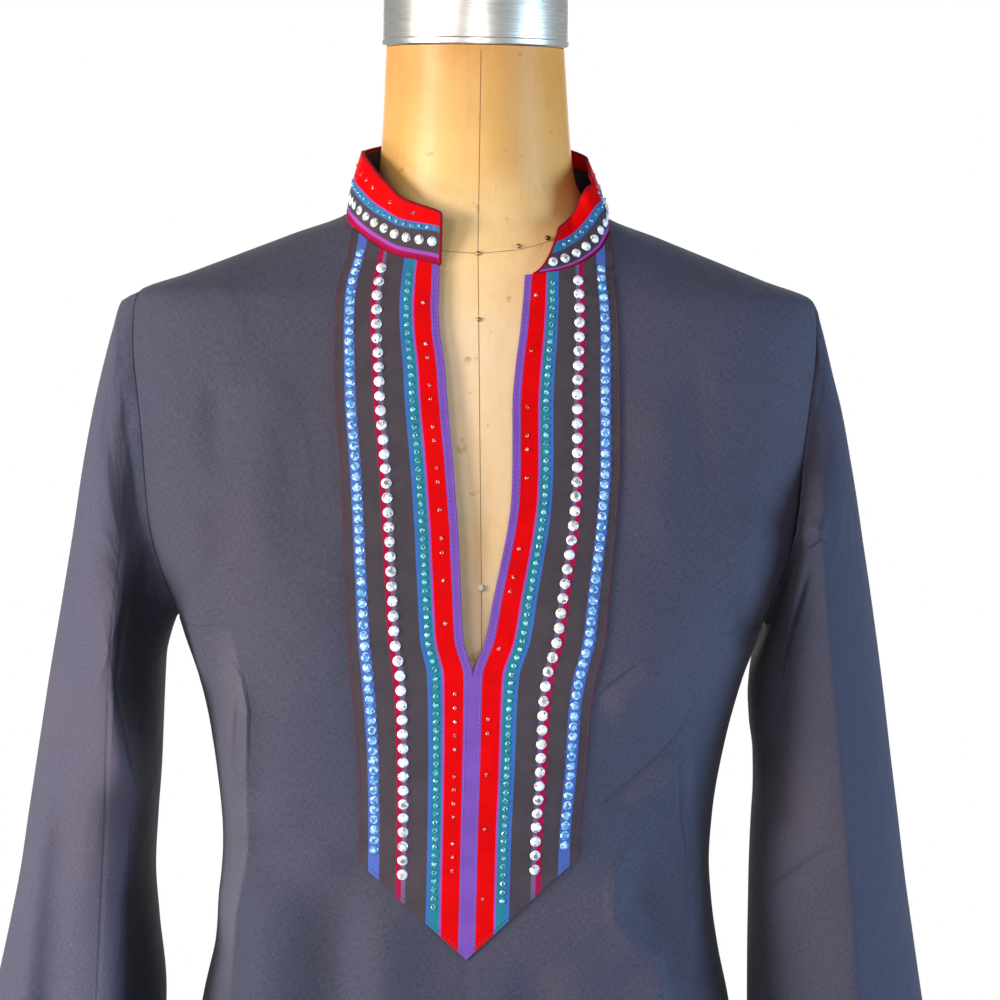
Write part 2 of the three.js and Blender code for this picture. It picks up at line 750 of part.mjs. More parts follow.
const neckDrops = (name) => NECK_DROPS.filter((drop) => drop <= NECK_END_DROP[name]);
const backNeckDrops = [...BACK_NECK_DROPS, NECK_DROPS[0]];
const backLeft = backEdge("left", backNeckDrops);
const backRight = backEdge("right", backNeckDrops);
const neckSeam = [
  ...frontEdge("left", neckDrops("left"), true).reverse(),
  ...backLeft.reverse(),
  ...backRight,
  ...frontEdge("right", neckDrops("right"), true),
];
const neckLengths = [0];
for (let i = 1; i < neckSeam.length; i += 1) {
  neckLengths.push(neckLengths[i - 1] + neckSeam[i].point.distanceTo(neckSeam[i - 1].point));
}
const neckAxisAt = (point) => new THREE.Vector3(0, 0, point.z);
const collarColumns = neckSeam.map((at, i) => {
  const share = neckLengths[i] / neckLengths[neckSeam.length - 1];
  const inwards = outOfPanel(neckSeam, i, false, neckAxisAt(at.point));
  const base = at.point.clone().addScaledVector(inwards, SEAM_GAP);
  const next = neckSeam[Math.min(i + 1, neckSeam.length - 1)].point;
  const line = next.clone().sub(neckSeam[Math.max(i - 1, 0)].point).setZ(0).normalize();
  const outwards = new THREE.Vector3(-line.y, line.x, 0);
  if (outwards.dot(at.point) < 0) outwards.negate();
  const top = Object.fromEntries(["rise", "lean", "slip"].map((k) => [k, COLLAR(k, share)]));
  return { base, outwards, line, ...top };
});
const collarCloth = new Cloth();
const collarRows = Array.from({ length: COLLAR_ROWS + 1 }, (_, row) => {
  const up = 1 - row / COLLAR_ROWS;
  return collarColumns.map(({ base, outwards, line, rise, lean, slip }) => {
    const point = base.clone().addScaledVector(outwards, lean * up ** LEAN_POWER);
    point.addScaledVector(line, -slip * up ** SLIP_POWER);
    point.z += rise * up ** RISE_POWER;
    const tilt = Math.atan2(lean, rise) * up * TOP_TILT_SHARE;
    const normal = outwards.clone().multiplyScalar(Math.cos(tilt));
    normal.z -= Math.sin(tilt);
    return collarCloth.add(point, normal);
  });
});
collarCloth.grid(collarRows.map((row) => row.slice().reverse()));
addMesh("collar", collarCloth.wall(COLLAR_WALL), stripedRibbon);

// ---- Dress form ----------------------------------------------------------------------------------
// Rings of the limbless torso and neck. It carries the cloth at the shoulders and stays clear of
// it below.
const FORM = table(
  ["drop", "middle", "halfWidth", "front", "back", "power"],
  [
    [FORM_TOP_DROP, -2, 52, 56, 50, 2],
    [-38, -0.8, 55.5, 56.5, 53, 2],
    [-20, -0.3, 58, 56, 55, 2],
    [-12, 0, 62, 55, 54, 2],
    [0, 0, 71.2, 56, 56, 1.95],
    [12, 0, 102, 59.5, 63, 1.9],
    [24, 0, 132.6, 64, 70, 1.9],
    [36, 0, 163.3, 67.5, 76, 1.95],
    [47.5, 0, 190, 71, 81, 2.05],
    [60, 0, 194, 74.5, 86, 2.15],
    [80, 0, 193, 80, 92, 2.2],
    [120, 0, 187, 90, 99, 2.25],
    [175, 0, 180, 104, 102, 2.25],
    [216, 0, 168, 114, 100, 2.3],
    [248, 0, 158, 118, 97, 2.35],
    [305, 0, 141, 110, 90, 2.25],
    [376, 0, 130, 98, 80, 2.15],
    [430, 0, 138, 102, 88, 2.15],
    [500, 0, 152, 110, 106, 2.15],
    [570, 0, 163, 116, 118, 2.15],
    [640, 0, 166, 117, 118, 2.15],
    [720, 0, 163, 114, 115, 2.15],
    [FORM_BOTTOM_DROP, 0, 156, 108, 109, 2.15],
  ],
);
const FORM_DROPS = [
  FORM_TOP_DROP, -60, -38, -26, -18, -10, -4, 2, 8, 14, 20, 27, 34, 41, 48, 56, 68, 85, 105, 130,
  160, 190, 216, 248, 275, 305, 340, 376, 410, 450, 500, 550, 610, 670, 720, FORM_BOTTOM_DROP,
];
const FORM_SIDES = 40;

function formRing(drop) {
  return Array.from({ length: FORM_SIDES }, (_, i) => {
    const angle = (2 * Math.PI * i) / FORM_SIDES;
    const power = 2 / FORM("power", drop);
    const across = Math.sign(Math.cos(angle)) * Math.abs(Math.cos(angle)) ** power;
    const deep = Math.sign(Math.sin(angle)) * Math.abs(Math.sin(angle)) ** power;
    const depth = FORM(deep < 0 ? "front" : "back", drop);
    return new THREE.Vector3(
      FORM("middle", drop) + FORM("halfWidth", drop) * across,
      depth * deep,
      NECK_POINT_Z - drop,
    );
  });
}

// A closed solid from rings that run downwards, with a flat end at the top and the bottom.
function ringSolid(rings) {
  const count = rings[0].length;
  const points = [...rings.flat(), centreOf(rings[0]), centreOf(rings[rings.length - 1])];
  const top = points.length - 2;
  const bottom = points.length - 1;
  const triangles = [];
  for (let i = 0; i < count; i += 1) {
    const j = (i + 1) % count;
    triangles.push(top, i, j);
    for (let r = 0; r + 1 < rings.length; r += 1) {
      const a = r * count + i;
      const b = r * count + j;
      triangles.push(a, a + count, b + count, a, b + count, b);
    }
    const last = (rings.length - 1) * count;
    triangles.push(bottom, last + j, last + i);
  }
  const geometry = new THREE.BufferGeometry();
  geometry.setFromPoints(points);
  geometry.setIndex(triangles);
  return geometry;
}

addMesh("form_torso", ringSolid(FORM_DROPS.map(formRing)), shellackedCanvas);

// A lathe turns about +Y, so its profile (radius, height) is stood up to turn about +Z.
function turned(profile, segments) {
  const points = profile.map(([radius, height]) => new THREE.Vector2(radius, height));
  return new THREE.LatheGeometry(points, segments).rotateX(Math.PI / 2);
}

const CAP_EDGE = 5;
const CAP_SEGMENTS = 48;
const cap = addMesh(
  "neck_cap",
  turned(
    [
      [0, 0],
      [CAP_RADIUS, 0],
      [CAP_RADIUS, CAP_HEIGHT - 2 * CAP_EDGE],
      [CAP_RADIUS - 0.3 * CAP_EDGE, CAP_HEIGHT - 1.3 * CAP_EDGE],
      [CAP_RADIUS - CAP_EDGE, CAP_HEIGHT - 0.7 * CAP_EDGE],
      [0.5 * CAP_RADIUS, CAP_HEIGHT - 0.15 * CAP_EDGE],
      [0, CAP_HEIGHT],
    ],
    CAP_SEGMENTS,
  ),
  aluminium,
);
cap.position.set(
  FORM("middle", FORM_TOP_DROP),
  (FORM("back", FORM_TOP_DROP) - FORM("front", FORM_TOP_DROP)) / 2,
  NECK_POINT_Z - FORM_TOP_DROP + SEAM_GAP,
);

// ---- Stand ---------------------------------------------------------------------------------------
const BASE_SEGMENTS = 64;
const POLE_SEGMENTS = 32;
const BASE_RIM = 9;
const BASE_DOME = 24;
const BOSS_RADIUS = 34;
const BOSS_HEIGHT = 52;
addMesh(
  "base",
  turned(
    [
      [0, 0],
      [BASE_RADIUS, 0],
      [BASE_RADIUS, BASE_RIM],
      [0.96 * BASE_RADIUS, BASE_RIM + 4],
      [0.5 * BASE_RADIUS, BASE_DOME - 4],
      [BOSS_RADIUS + 6, BASE_DOME],
      [BOSS_RADIUS, BASE_DOME + 6],
      [0.75 * BOSS_RADIUS, BOSS_HEIGHT],
      [0, BOSS_HEIGHT],
    ],
    BASE_SEGMENTS,
  ),
  castIron,
);

const poleFoot = BOSS_HEIGHT + SEAM_GAP;
const poleTop = NECK_POINT_Z - FORM_BOTTOM_DROP - SEAM_GAP;
const poleGeometry = new THREE.CylinderGeometry(
  POLE_RADIUS,
  POLE_RADIUS,
  poleTop - poleFoot,
  POLE_SEGMENTS,
).rotateX(Math.PI / 2);
const pole = addMesh("pole", poleGeometry, aluminium);
pole.position.set(0, 0, (poleFoot + poleTop) / 2);

export default object;
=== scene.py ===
# An embellished cotton tunic on a limbless dress form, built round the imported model.
# Sizes are in millimetres as a pattern maker writes them, and become metres in each mesh. A drop
# is a distance below the neck point, where the shoulder seam meets the collar.
import math
from functools import partial

import bmesh
import bpy
import numpy as np
from mathutils import Matrix, Vector


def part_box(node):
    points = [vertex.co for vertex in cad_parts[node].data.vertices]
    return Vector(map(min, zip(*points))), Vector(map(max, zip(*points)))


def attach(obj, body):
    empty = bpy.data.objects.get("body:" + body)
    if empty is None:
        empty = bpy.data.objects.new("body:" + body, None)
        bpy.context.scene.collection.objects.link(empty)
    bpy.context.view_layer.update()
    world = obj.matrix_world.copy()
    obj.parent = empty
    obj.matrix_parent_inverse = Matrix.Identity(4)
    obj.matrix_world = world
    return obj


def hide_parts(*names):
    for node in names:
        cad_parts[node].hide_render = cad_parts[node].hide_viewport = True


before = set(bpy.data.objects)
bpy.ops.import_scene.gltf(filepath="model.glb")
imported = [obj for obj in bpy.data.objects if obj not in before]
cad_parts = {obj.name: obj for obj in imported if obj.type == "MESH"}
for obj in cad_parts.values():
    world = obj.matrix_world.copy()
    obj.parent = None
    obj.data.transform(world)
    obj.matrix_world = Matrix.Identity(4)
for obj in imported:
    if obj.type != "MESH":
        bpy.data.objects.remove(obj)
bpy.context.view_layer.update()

# ---- Front panel -------------------------------------------------------------------------------
# One panel of plain-woven charcoal cotton, open at the neck and down the slit, shaped over the
# bust and drawn in at the waist. It hangs from the shoulder seams in soft folds.
MM = 0.001
NECK_POINT_Z = 1400
SHOULDER_TIP_DROP = 47.5
ARMPIT_DROP = 236
SLIT_DROP = 257
HEM_DROP = 700


def smooth_table(columns, rows):
    """Monotone cubics through the rows of a table; its first column says where a row stands."""
    numbers = np.array(rows, float)
    at = numbers[:, 0]
    span = np.diff(at)

    def read(name, where):
        value = numbers[:, columns.index(name)]
        slope = np.diff(value) / span
        total = slope[:-1] + slope[1:]
        product = slope[:-1] * slope[1:]
        middle = np.where(product > 0, 2 * product / np.where(total == 0, 1, total), 0)
        tangent = np.concatenate([slope[:1], middle, slope[-1:]])
        where = np.clip(where, at[0], at[-1])
        i = np.clip(np.searchsorted(at, where, side="right") - 1, 0, len(at) - 2)
        t = (where - at[i]) / span[i]
        rise = t * t * (3 - 2 * t)
        bend = (1 - t) * tangent[i] - t * tangent[i + 1]
        return value[i] * (1 - rise) + value[i + 1] * rise + span[i] * t * (1 - t) * bend

    return read


body_rings = smooth_table(
    ["drop", "half_width", "front", "back", "front_power", "back_power"],
    [
        [-12, 66, 56, 58, 2, 2],
        [0, 76, 60, 62, 2, 2],
        [12, 106.7, 63.5, 69, 2, 2],
        [24, 137.4, 68, 76, 2, 2.1],
        [36, 168.2, 71.5, 82, 2.1, 2.2],
        [47.5, 197.6, 75, 87, 2.2, 2.3],
        [60, 201.5, 78.5, 91, 2.3, 2.3],
        [80, 203.5, 84.5, 97, 2.3, 2.3],
        [120, 205, 95.5, 104, 2.3, 2.3],
        [155, 203, 105.5, 107, 2.35, 2.3],
        [175, 200, 111, 108, 2.4, 2.3],
        [203, 189.5, 118, 107, 2.5, 2.3],
        [216, 182, 121, 106, 2.55, 2.3],
        [228, 175, 123, 106, 2.6, 2.3],
        [236, 171.5, 124, 105, 2.6, 2.3],
        [248, 167, 125, 104, 2.6, 2.3],
        [268, 159.5, 125, 102, 2.55, 2.25],
        [305, 150.5, 120.5, 97, 2.4, 2.2],
        [350, 144, 112, 92, 2.25, 2.2],
        [376, 142.5, 109, 90, 2.2, 2.2],
        [400, 144.3, 109.5, 92, 2.2, 2.2],
        [430, 149, 112, 98, 2.2, 2.2],
        [462, 156, 116, 106, 2.2, 2.2],
        [540, 168, 125, 125, 2.2, 2.25],
        [640, 178, 131, 133, 2.2, 2.25],
        [700, 182, 133, 134, 2.2, 2.2],
    ],
)
armhole = smooth_table(
    ["drop", "x"],
    [
        [47.5, 197.6],
        [60, 199.2],
        [80, 198.5],
        [105, 195],
        [135, 191],
        [165, 188],
        [190, 184],
        [210, 177.5],
        [226, 172.5],
        [236, 171.5],
    ],
)
neckline = smooth_table(
    ["drop", "left", "right"],
    [
        [0, 76, 76],
        [4, 74.3, 77],
        [9, 69.8, 76.6],
        [14, 63.5, 74.5],
        [19, 55.5, 71.4],
        [24, 45, 65],
        [29, 20.2, 55],
        [32, 20.2, 43],
        [33.5, 20.2, 28.4],
    ],
)
NECK_END_DROP = {"left": 29, "right": 33.5}
placket_edges = smooth_table(
    ["drop", "left_edge", "left_slit", "right_slit", "right_edge"],
    [
        [4, -70.5, -20.2, 28.6, 77.5],
        [12, -71, -20.2, 28.6, 77.5],
        [23, -72.6, -20.2, 28.6, 78],
        [30, -74.6, -20.2, 28.6, 78.4],
        [37, -77, -20.2, 28.2, 79],
        [50, -78.7, -20.4, 27.3, 80.8],
        [65, -79, -19.4, 26, 82],
        [84, -78.6, -16.4, 23.8, 82.6],
        [105, -77.8, -14.4, 22.3, 83],
        [140, -74.4, -10.5, 22.7, 83.3],
        [158, -73, -8.8, 22.4, 82.3],
        [175, -71.8, -7.2, 20.4, 81.2],
        [192, -70.6, -6.2, 17.3, 79.5],
        [213, -68.8, -4.9, 13.1, 77.2],
        [236, -67, -3.4, 8.9, 75],
        [257, -65, 2.3, 2.3, 70],
        [275, -63, 2.2, 2.2, 67.3],
        [313, -61, 1.8, 1.8, 65.8],
        [350, -60.7, 1.3, 1.3, 63.4],
        [420, -61.5, 0.6, 0.6, 62.5],
    ],
)

# Each fold is its height, or its depth below 0, how far it reaches to the left and the right, its
# power, and the line it runs along, as x and drop. Power 2 is soft and 1 is a sharp crease, which
# is left to the cloth's material, with painted shade down its valley where its depth is below 0.
# Power 0 is painted light and shade alone: its first number is how dark the painted shade is where
# the cloth turns under, or, below 0, how strong a painted highlight is along a fold's lit side.
FRONT_FOLDS = [
    # the bust
    (6, 50, 50, 2, [(-92, 250), (-88, 262)]),
    (6, 50, 50, 2, [(92, 250), (88, 262)]),
    # the left waist: a ridge with a crease on it, and the soft folds that fall from it
    (9, 13, 7, 1.6, [(-142, 246), (-131, 256), (-126.5, 281), (-129, 307), (-129, 330),
                     (-127, 356), (-128, 391), (-134, 440)]),
    (1.3, 5, 2.5, 1, [(-142, 246), (-129, 262), (-125.5, 282), (-128, 326)]),
    (-0.7, 1.4, 2, 1, [(-131, 278), (-134, 312)]),
    # a painted highlight down the lit side of the left waist
    (-0.24, 22, 2, 0, [(-137, 234), (-126, 278), (-128, 326), (-127.5, 366), (-134, 406),
                       (-138, 460)]),
    (-1, 2, 2, 1, [(-143, 246), (-143, 264)]),
    (5, 8, 8, 2, [(-160, 214), (-151, 242), (-143, 275)]),
    (-0.7, 2, 7, 1, [(-112, 228), (-84, 261)]),
    (4, 12, 12, 2, [(-128, 330), (-91, 359), (-62, 374)]),
    (-7.5, 20, 16, 2, [(-72, 370), (-74, 410), (-76, 700)]),
    (6, 14, 16, 2, [(-47, 380), (-46, 420), (-44, 700)]),
    (11, 18, 20, 2, [(-106, 360), (-112, 400), (-120, 700)]),
    # the right side: creases from under the arm down to the placket, and the folds below them
    (-1.4, 1.5, 8, 1, [(106.5, 241), (78, 261), (68, 272.5)]),
    (-2, 1.6, 10, 1, [(128, 269.5), (119.5, 288), (107, 303), (77.5, 329), (72, 340)]),
    (4.5, 9, 9, 2, [(124, 298), (108, 318), (88, 336)]),
    (4, 10, 10, 2, [(112, 248), (92, 262), (76, 280)]),
    (7, 12, 8, 1.3, [(115, 284), (118, 316), (121, 340), (125, 363), (127, 395), (131, 700)]),
    (-1.1, 1.2, 4, 1, [(117, 290), (121.5, 340), (125.5, 363), (127.5, 420)]),
    (7.5, 14, 6, 1.4, [(96.5, 356), (84.5, 373), (83.5, 396), (95, 413), (107.5, 423), (122, 700)]),
    (1, 6, 2, 1, [(96.5, 356), (84.5, 373), (83.5, 396), (95, 413), (107.5, 423)]),
    (-6, 9, 9, 2, [(106, 356), (102, 390), (112, 412), (126, 440), (130, 700)]),
    (-0.7, 3, 9, 1, [(86, 405), (38, 428)]),
    (-7, 14, 14, 2, [(42, 410), (40, 440), (34, 700)]),
    # the chest and the shoulders
    (-2.6, 9, 9, 2, [(-148, 92), (-148, 152)]),
    (2.6, 9, 9, 2, [(-157, 166), (-153, 212)]),
    (-1.6, 7, 8, 2, [(126, 66), (127, 166)]),
    (-0.5, 4, 8, 1, [(140, 44), (180, 116)]),
    (3, 12, 8, 2, [(158, 155), (150, 230)]),
    (-3, 5, 6, 1.5, [(147, 210), (159, 248)]),
    (-0.7, 3, 6, 1, [(160, 192), (146, 220), (138, 250)]),
    (3.2, 16, 16, 2, [(-112, 70), (-120, 150), (-112, 215)]),
    (3.2, 16, 16, 2, [(102, 90), (108, 150), (104, 200)]),
]
SHORT_FOLD = 20
TAPER_SHARE = 0.3
LONGEST_TAPER = 40
TAPER_END_DROP = 600


def fold_height(folds, x, drop):
    """How high the folds stand at points of the cloth. They taper at their ends."""
    height = np.zeros_like(x)
    for depth, left, right, power, line in folds:
        if power <= 1:
            continue
        line = np.array(line, float)
        steps = np.hypot(*np.diff(line, axis=0).T)
        starts = np.r_[0, np.cumsum(steps)]
        nearest = np.full_like(x, 1e9)
        aside = np.zeros_like(x)
        along = np.zeros_like(x)
        for start, end, step, before in zip(line, line[1:], steps, starts):
            run_x, run_drop = end - start
            away_x, away_drop = x - start[0], drop - start[1]
            share = np.clip((away_x * run_x + away_drop * run_drop) / step**2, 0, 1)
            off = np.hypot(away_x - share * run_x, away_drop - share * run_drop)
            closer = off < nearest
            side = away_x * run_drop - away_drop * run_x
            nearest = np.where(closer, off, nearest)
            aside = np.where(closer, side, aside)
            along = np.where(closer, before + share * step, along)
        reach = np.where(aside < 0, left, right)
        fade = 1.0
        if starts[-1] > SHORT_FOLD:
            taper = min(LONGEST_TAPER, TAPER_SHARE * starts[-1])
            fade = smoothstep(along / taper)
            if line[-1, 1] < TAPER_END_DROP:
                fade = fade * smoothstep((starts[-1] - along) / taper)
        height += depth * fade * np.exp(-((nearest / reach) ** power))
    return height


def smoothstep(t):
    u = np.clip(t, 0, 1)
    return u * u * (3 - 2 * u)


RING_STEPS = 96


def quarter_rings(panel, drops):
    """Each row's quarter superellipse from the panel's middle: x, depth and arc."""
    drops = np.asarray(drops, float)[:, None]
    angle = np.linspace(0, math.pi / 2, RING_STEPS + 1)[None, :]
    power = 2 / body_rings(panel + "_power", drops)
    x = body_rings("half_width", drops) * np.sin(angle) ** power
    y = body_rings(panel, drops) * np.cos(angle).clip(0) ** power
    steps = np.hypot(np.diff(x, axis=1), np.diff(y, axis=1))
    arc = np.concatenate([np.zeros_like(drops), np.cumsum(steps, axis=1)], axis=1)
    return x, y, arc


def arc_at_x(panel, drops, x):
    """The arcs at which rows reach x, in the same sign."""
    ring_x, _, arc = quarter_rings(panel, drops)
    return np.array([
        np.sign(v) * np.interp(abs(v), ring_x[i], arc[i]) for i, v in enumerate(np.ravel(x))
    ])


def ring_points(panel, drops, arcs):
    """Points of the smooth cloth for a grid of arcs, a row for each drop."""
    ring_x, ring_y, ring_arc = quarter_rings(panel, drops)
    out = -1 if panel == "front" else 1
    points = np.empty(arcs.shape + (3,))
    for i, row in enumerate(arcs):
        points[i, :, 0] = np.sign(row) * np.interp(np.abs(row), ring_arc[i], ring_x[i])
        points[i, :, 1] = out * np.interp(np.abs(row), ring_arc[i], ring_y[i])
        points[i, :, 2] = NECK_POINT_Z - drops[i]
    return points


def grid_normals(points):
    """Outward normals of a grid whose columns run to the right as seen from outside."""
    across = np.gradient(points, axis=1)
    down = np.gradient(points, axis=0)
    normal = np.cross(down, across)
    return normal / np.linalg.norm(normal, axis=2, keepdims=True).clip(1e-9)


FOLD_FADE_ARC = 18
FADE_GROWTH = 0.6


def panel_points(panel, drops, arcs, ends, folds):
    """Points of a panel with its folds, which fade towards the side seams."""
    smooth = ring_points(panel, drops, arcs)
    normals = grid_normals(smooth)
    above = drops < ARMPIT_DROP
    last = ends[above][-1] + (drops - drops[above][-1]) * FADE_GROWTH
    ends = np.where(above, ends, np.minimum(ends, last))
    fade = smoothstep((ends[:, None] - np.abs(arcs)) / FOLD_FADE_ARC)
    drop = NECK_POINT_Z - smooth[..., 2]
    height = fade * fold_height(folds, smooth[..., 0], drop)
    return smooth + normals * height[..., None]


# How far each piece's cut map is moved, in metres, so that no two pieces show the same slubs.
CUT_SHIFTS = {"back": 1.0, "left": 2.0, "right": 3.0, "placket": 4.0, "collar": 5.0, "form": 6.0}
CUT_EDGE_ANGLE = math.radians(50)


def add_sheet(name, grids, merge=0.05):
    """A mesh of one or more grids: points in mm, rows by columns, with a cut map in metres and
    a mark in mm for the stripes."""
    mesh = bpy.data.meshes.new(name)
    points, faces, slots, cuts, marks, linings = [], [], [], [], [], []
    for grid in grids:
        rows, columns = grid["points"].shape[:2]
        first = sum(len(p) for p in points)
        points.append(grid["points"].reshape(-1, 3))
        cuts.append(grid["cut"].reshape(-1, 2))
        marks.append(grid.get("mark", np.zeros((rows, columns))).reshape(-1))
        linings.append(grid.get("lining", np.zeros((rows, columns))).reshape(-1))
        number = first + np.arange(rows * columns).reshape(rows, columns)
        if grid.get("closed"):
            number = np.concatenate([number, number[:, :1]], axis=1)
        quads = [number[1:, :-1], number[1:, 1:], number[:-1, 1:], number[:-1, :-1]]
        quads = np.stack(quads, axis=-1).reshape(-1, 4)
        faces.append(quads)
        slots.extend([grid.get("slot", 0)] * len(quads))
    points = np.concatenate(points) * MM
    mesh.from_pydata(points.tolist(), [], np.concatenate(faces).tolist())
    mesh.polygons.foreach_set("material_index", slots)
    vertex = np.empty(len(mesh.loops), np.int32)
    mesh.loops.foreach_get("vertex_index", vertex)
    cut = mesh.uv_layers.new(name="cut")
    cut.data.foreach_set("uv", np.concatenate(cuts)[vertex].ravel())
    for label, values in (("band", marks), ("lining", linings)):
        layer = mesh.attributes.new(label, "FLOAT", "POINT")
        layer.data.foreach_set("value", np.concatenate(values))
    made = bmesh.new()
    made.from_mesh(mesh)
    bmesh.ops.remove_doubles(made, verts=made.verts, dist=merge * MM)
    made.to_mesh(mesh)
    made.free()
    mesh.shade_smooth()
    return add_object(name, mesh)


def add_object(name, data):
    piece = bpy.data.objects.new(name, data)
    bpy.context.scene.collection.objects.link(piece)
    return piece


def give_wall(sheet, wall, lining=0):
    """Turns a sheet into a closed wall of cloth, with crisp cut edges."""
    solid = sheet.modifiers.new("wall", "SOLIDIFY")
    solid.thickness = wall * MM
    solid.offset = -1
    solid.material_offset = lining
    flatten(sheet)
    sheet.data.set_sharp_from_angle(angle=CUT_EDGE_ANGLE)


def flatten(piece):
    """Applies a piece's modifiers."""
    depsgraph = bpy.context.evaluated_depsgraph_get()
    mesh = bpy.data.meshes.new_from_object(piece.evaluated_get(depsgraph))
    piece.modifiers.clear()
    piece.data = mesh


def add_node(tree, kind, inputs=None, **settings):
    """Adds a node, with its settings and with values or links on its inputs."""
    node = tree.nodes.new(kind)
    for key, value in settings.items():
        setattr(node, key, value)
    for key, value in (inputs or {}).items():
        if isinstance(value, bpy.types.NodeSocket):
            tree.links.new(value, node.inputs[key])
        else:
            node.inputs[key].default_value = value
    return node


def node_output(tree, kind, inputs=None, output=0, **settings):
    return add_node(tree, kind, inputs, **settings).outputs[output]


def add_maths(tree, operation, *values, clamp=False):
    inputs = dict(enumerate(values))
    return node_output(tree, "ShaderNodeMath", inputs, operation=operation, use_clamp=clamp)


def add_noise(tree, where, scale, detail=2.0, distortion=0.0):
    inputs = {"Vector": where, "Scale": scale, "Detail": detail, "Distortion": distortion}
    return node_output(tree, "ShaderNodeTexNoise", inputs, "Fac")


def add_range(tree, value, low, high, kind="LINEAR"):
    """0 where a value is low and 1 where it is high."""
    inputs = {"Value": value, "From Min": low, "From Max": high}
    return node_output(tree, "ShaderNodeMapRange", inputs, interpolation_type=kind)


def add_bump(tree, height, strength, distance, normal=None):
    inputs = {"Height": height, "Strength": strength, "Distance": distance}
    if normal is not None:
        inputs["Normal"] = normal
    return node_output(tree, "ShaderNodeBump", inputs, "Normal")


def mix_colours(tree, share, first, second, kind="MIX"):
    inputs = {0: share, 6: first, 7: second}
    return node_output(tree, "ShaderNodeMix", inputs, 2, data_type="RGBA", blend_type=kind)


def stretch(tree, where, scale):
    return node_output(tree, "ShaderNodeMapping", {"Vector": where, "Scale": scale})


def split(tree, vector):
    return add_node(tree, "ShaderNodeSeparateXYZ", {"Vector": vector}).outputs


def combine(tree, axes):
    return node_output(tree, "ShaderNodeCombineXYZ", axes)


def cut_map(tree):
    return node_output(tree, "ShaderNodeUVMap", uv_map="cut")


def object_place(tree):
    return node_output(tree, "ShaderNodeTexCoord", output="Object")


def attribute(tree, name):
    return node_output(tree, "ShaderNodeAttribute", output="Fac", attribute_name=name)


def grey(value):
    return (value, value, value, 1.0)


def darker(colour, share):
    return tuple(share * value for value in colour[:3]) + (1.0,)


def srgb(red, green, blue):
    """A linear colour from the 0 to 255 values of a swatch."""
    return tuple(
        v / 255 / 12.92 if v <= 10 else ((v / 255 + 0.055) / 1.055) ** 2.4
        for v in (red, green, blue)
    ) + (1.0,)


def new_material(name):
    material = bpy.data.materials.new(name)
    material.use_nodes = True
    material.node_tree.nodes.clear()
    return material, material.node_tree


def colour_ramp(tree, factor, stops, interpolation="LINEAR"):
    ramp = add_node(tree, "ShaderNodeValToRGB", {"Fac": factor})
    ramp.color_ramp.interpolation = interpolation
    elements = ramp.color_ramp.elements
    elements.remove(elements[1])
    elements[0].position, elements[0].color = stops[0]
    for position, colour in stops[1:]:
        elements.new(position).color = colour
    return ramp.outputs["Color"]


def finish_shader(tree, inputs):
    shader = add_node(tree, "ShaderNodeBsdfPrincipled", inputs)
    add_node(tree, "ShaderNodeOutputMaterial", {"Surface": shader.outputs["BSDF"]})


# The threads and the slubs are measured in metres, as the cut map is, and the seams in mm.
WARP_PITCH = 0.0007
WEFT_PITCH = 1.1 * WARP_PITCH
SLUB_SCALES = ((1500.0, 330.0, 1.0), (360.0, 1400.0, 1.0))
SEAM_LINE = 0.9
PUCKER_REACH = 12.0
# How dark the painted shade down a crease's valley is, and how narrow it is.
CREASE_SHADE = 0.28
CREASE_SHADE_POWER = 6.0
CREASE_END_POWER = 0.6


def woven_slubs(tree, cut):
    """Thick places in the threads, as fine streaks along the warp and across it."""
    warp, weft = (add_noise(tree, stretch(tree, cut, scale), 1.0) for scale in SLUB_SCALES)
    return add_maths(tree, "MULTIPLY", add_maths(tree, "ADD", warp, weft), 0.5)


def woven_height(tree, cut):
    """The height of a plain weave with slubs, on the cut map in metres."""
    axes = split(tree, cut)
    warp, weft = (
        add_maths(tree, "SINE", add_maths(tree, "MULTIPLY", axes[axis], 2 * math.pi / pitch))
        for axis, pitch in (("X", WARP_PITCH), ("Y", WEFT_PITCH))
    )
    weave = add_maths(tree, "MULTIPLY", warp, weft)
    return add_maths(tree, "MULTIPLY_ADD", weave, 0.25, woven_slubs(tree, cut))


def seam_share(tree, reach):
    """1 at a sewn seam and 0 at this distance from it in mm, by the sheet's band attribute."""
    return add_range(tree, attribute(tree, "band"), reach, 0.0, "SMOOTHSTEP")


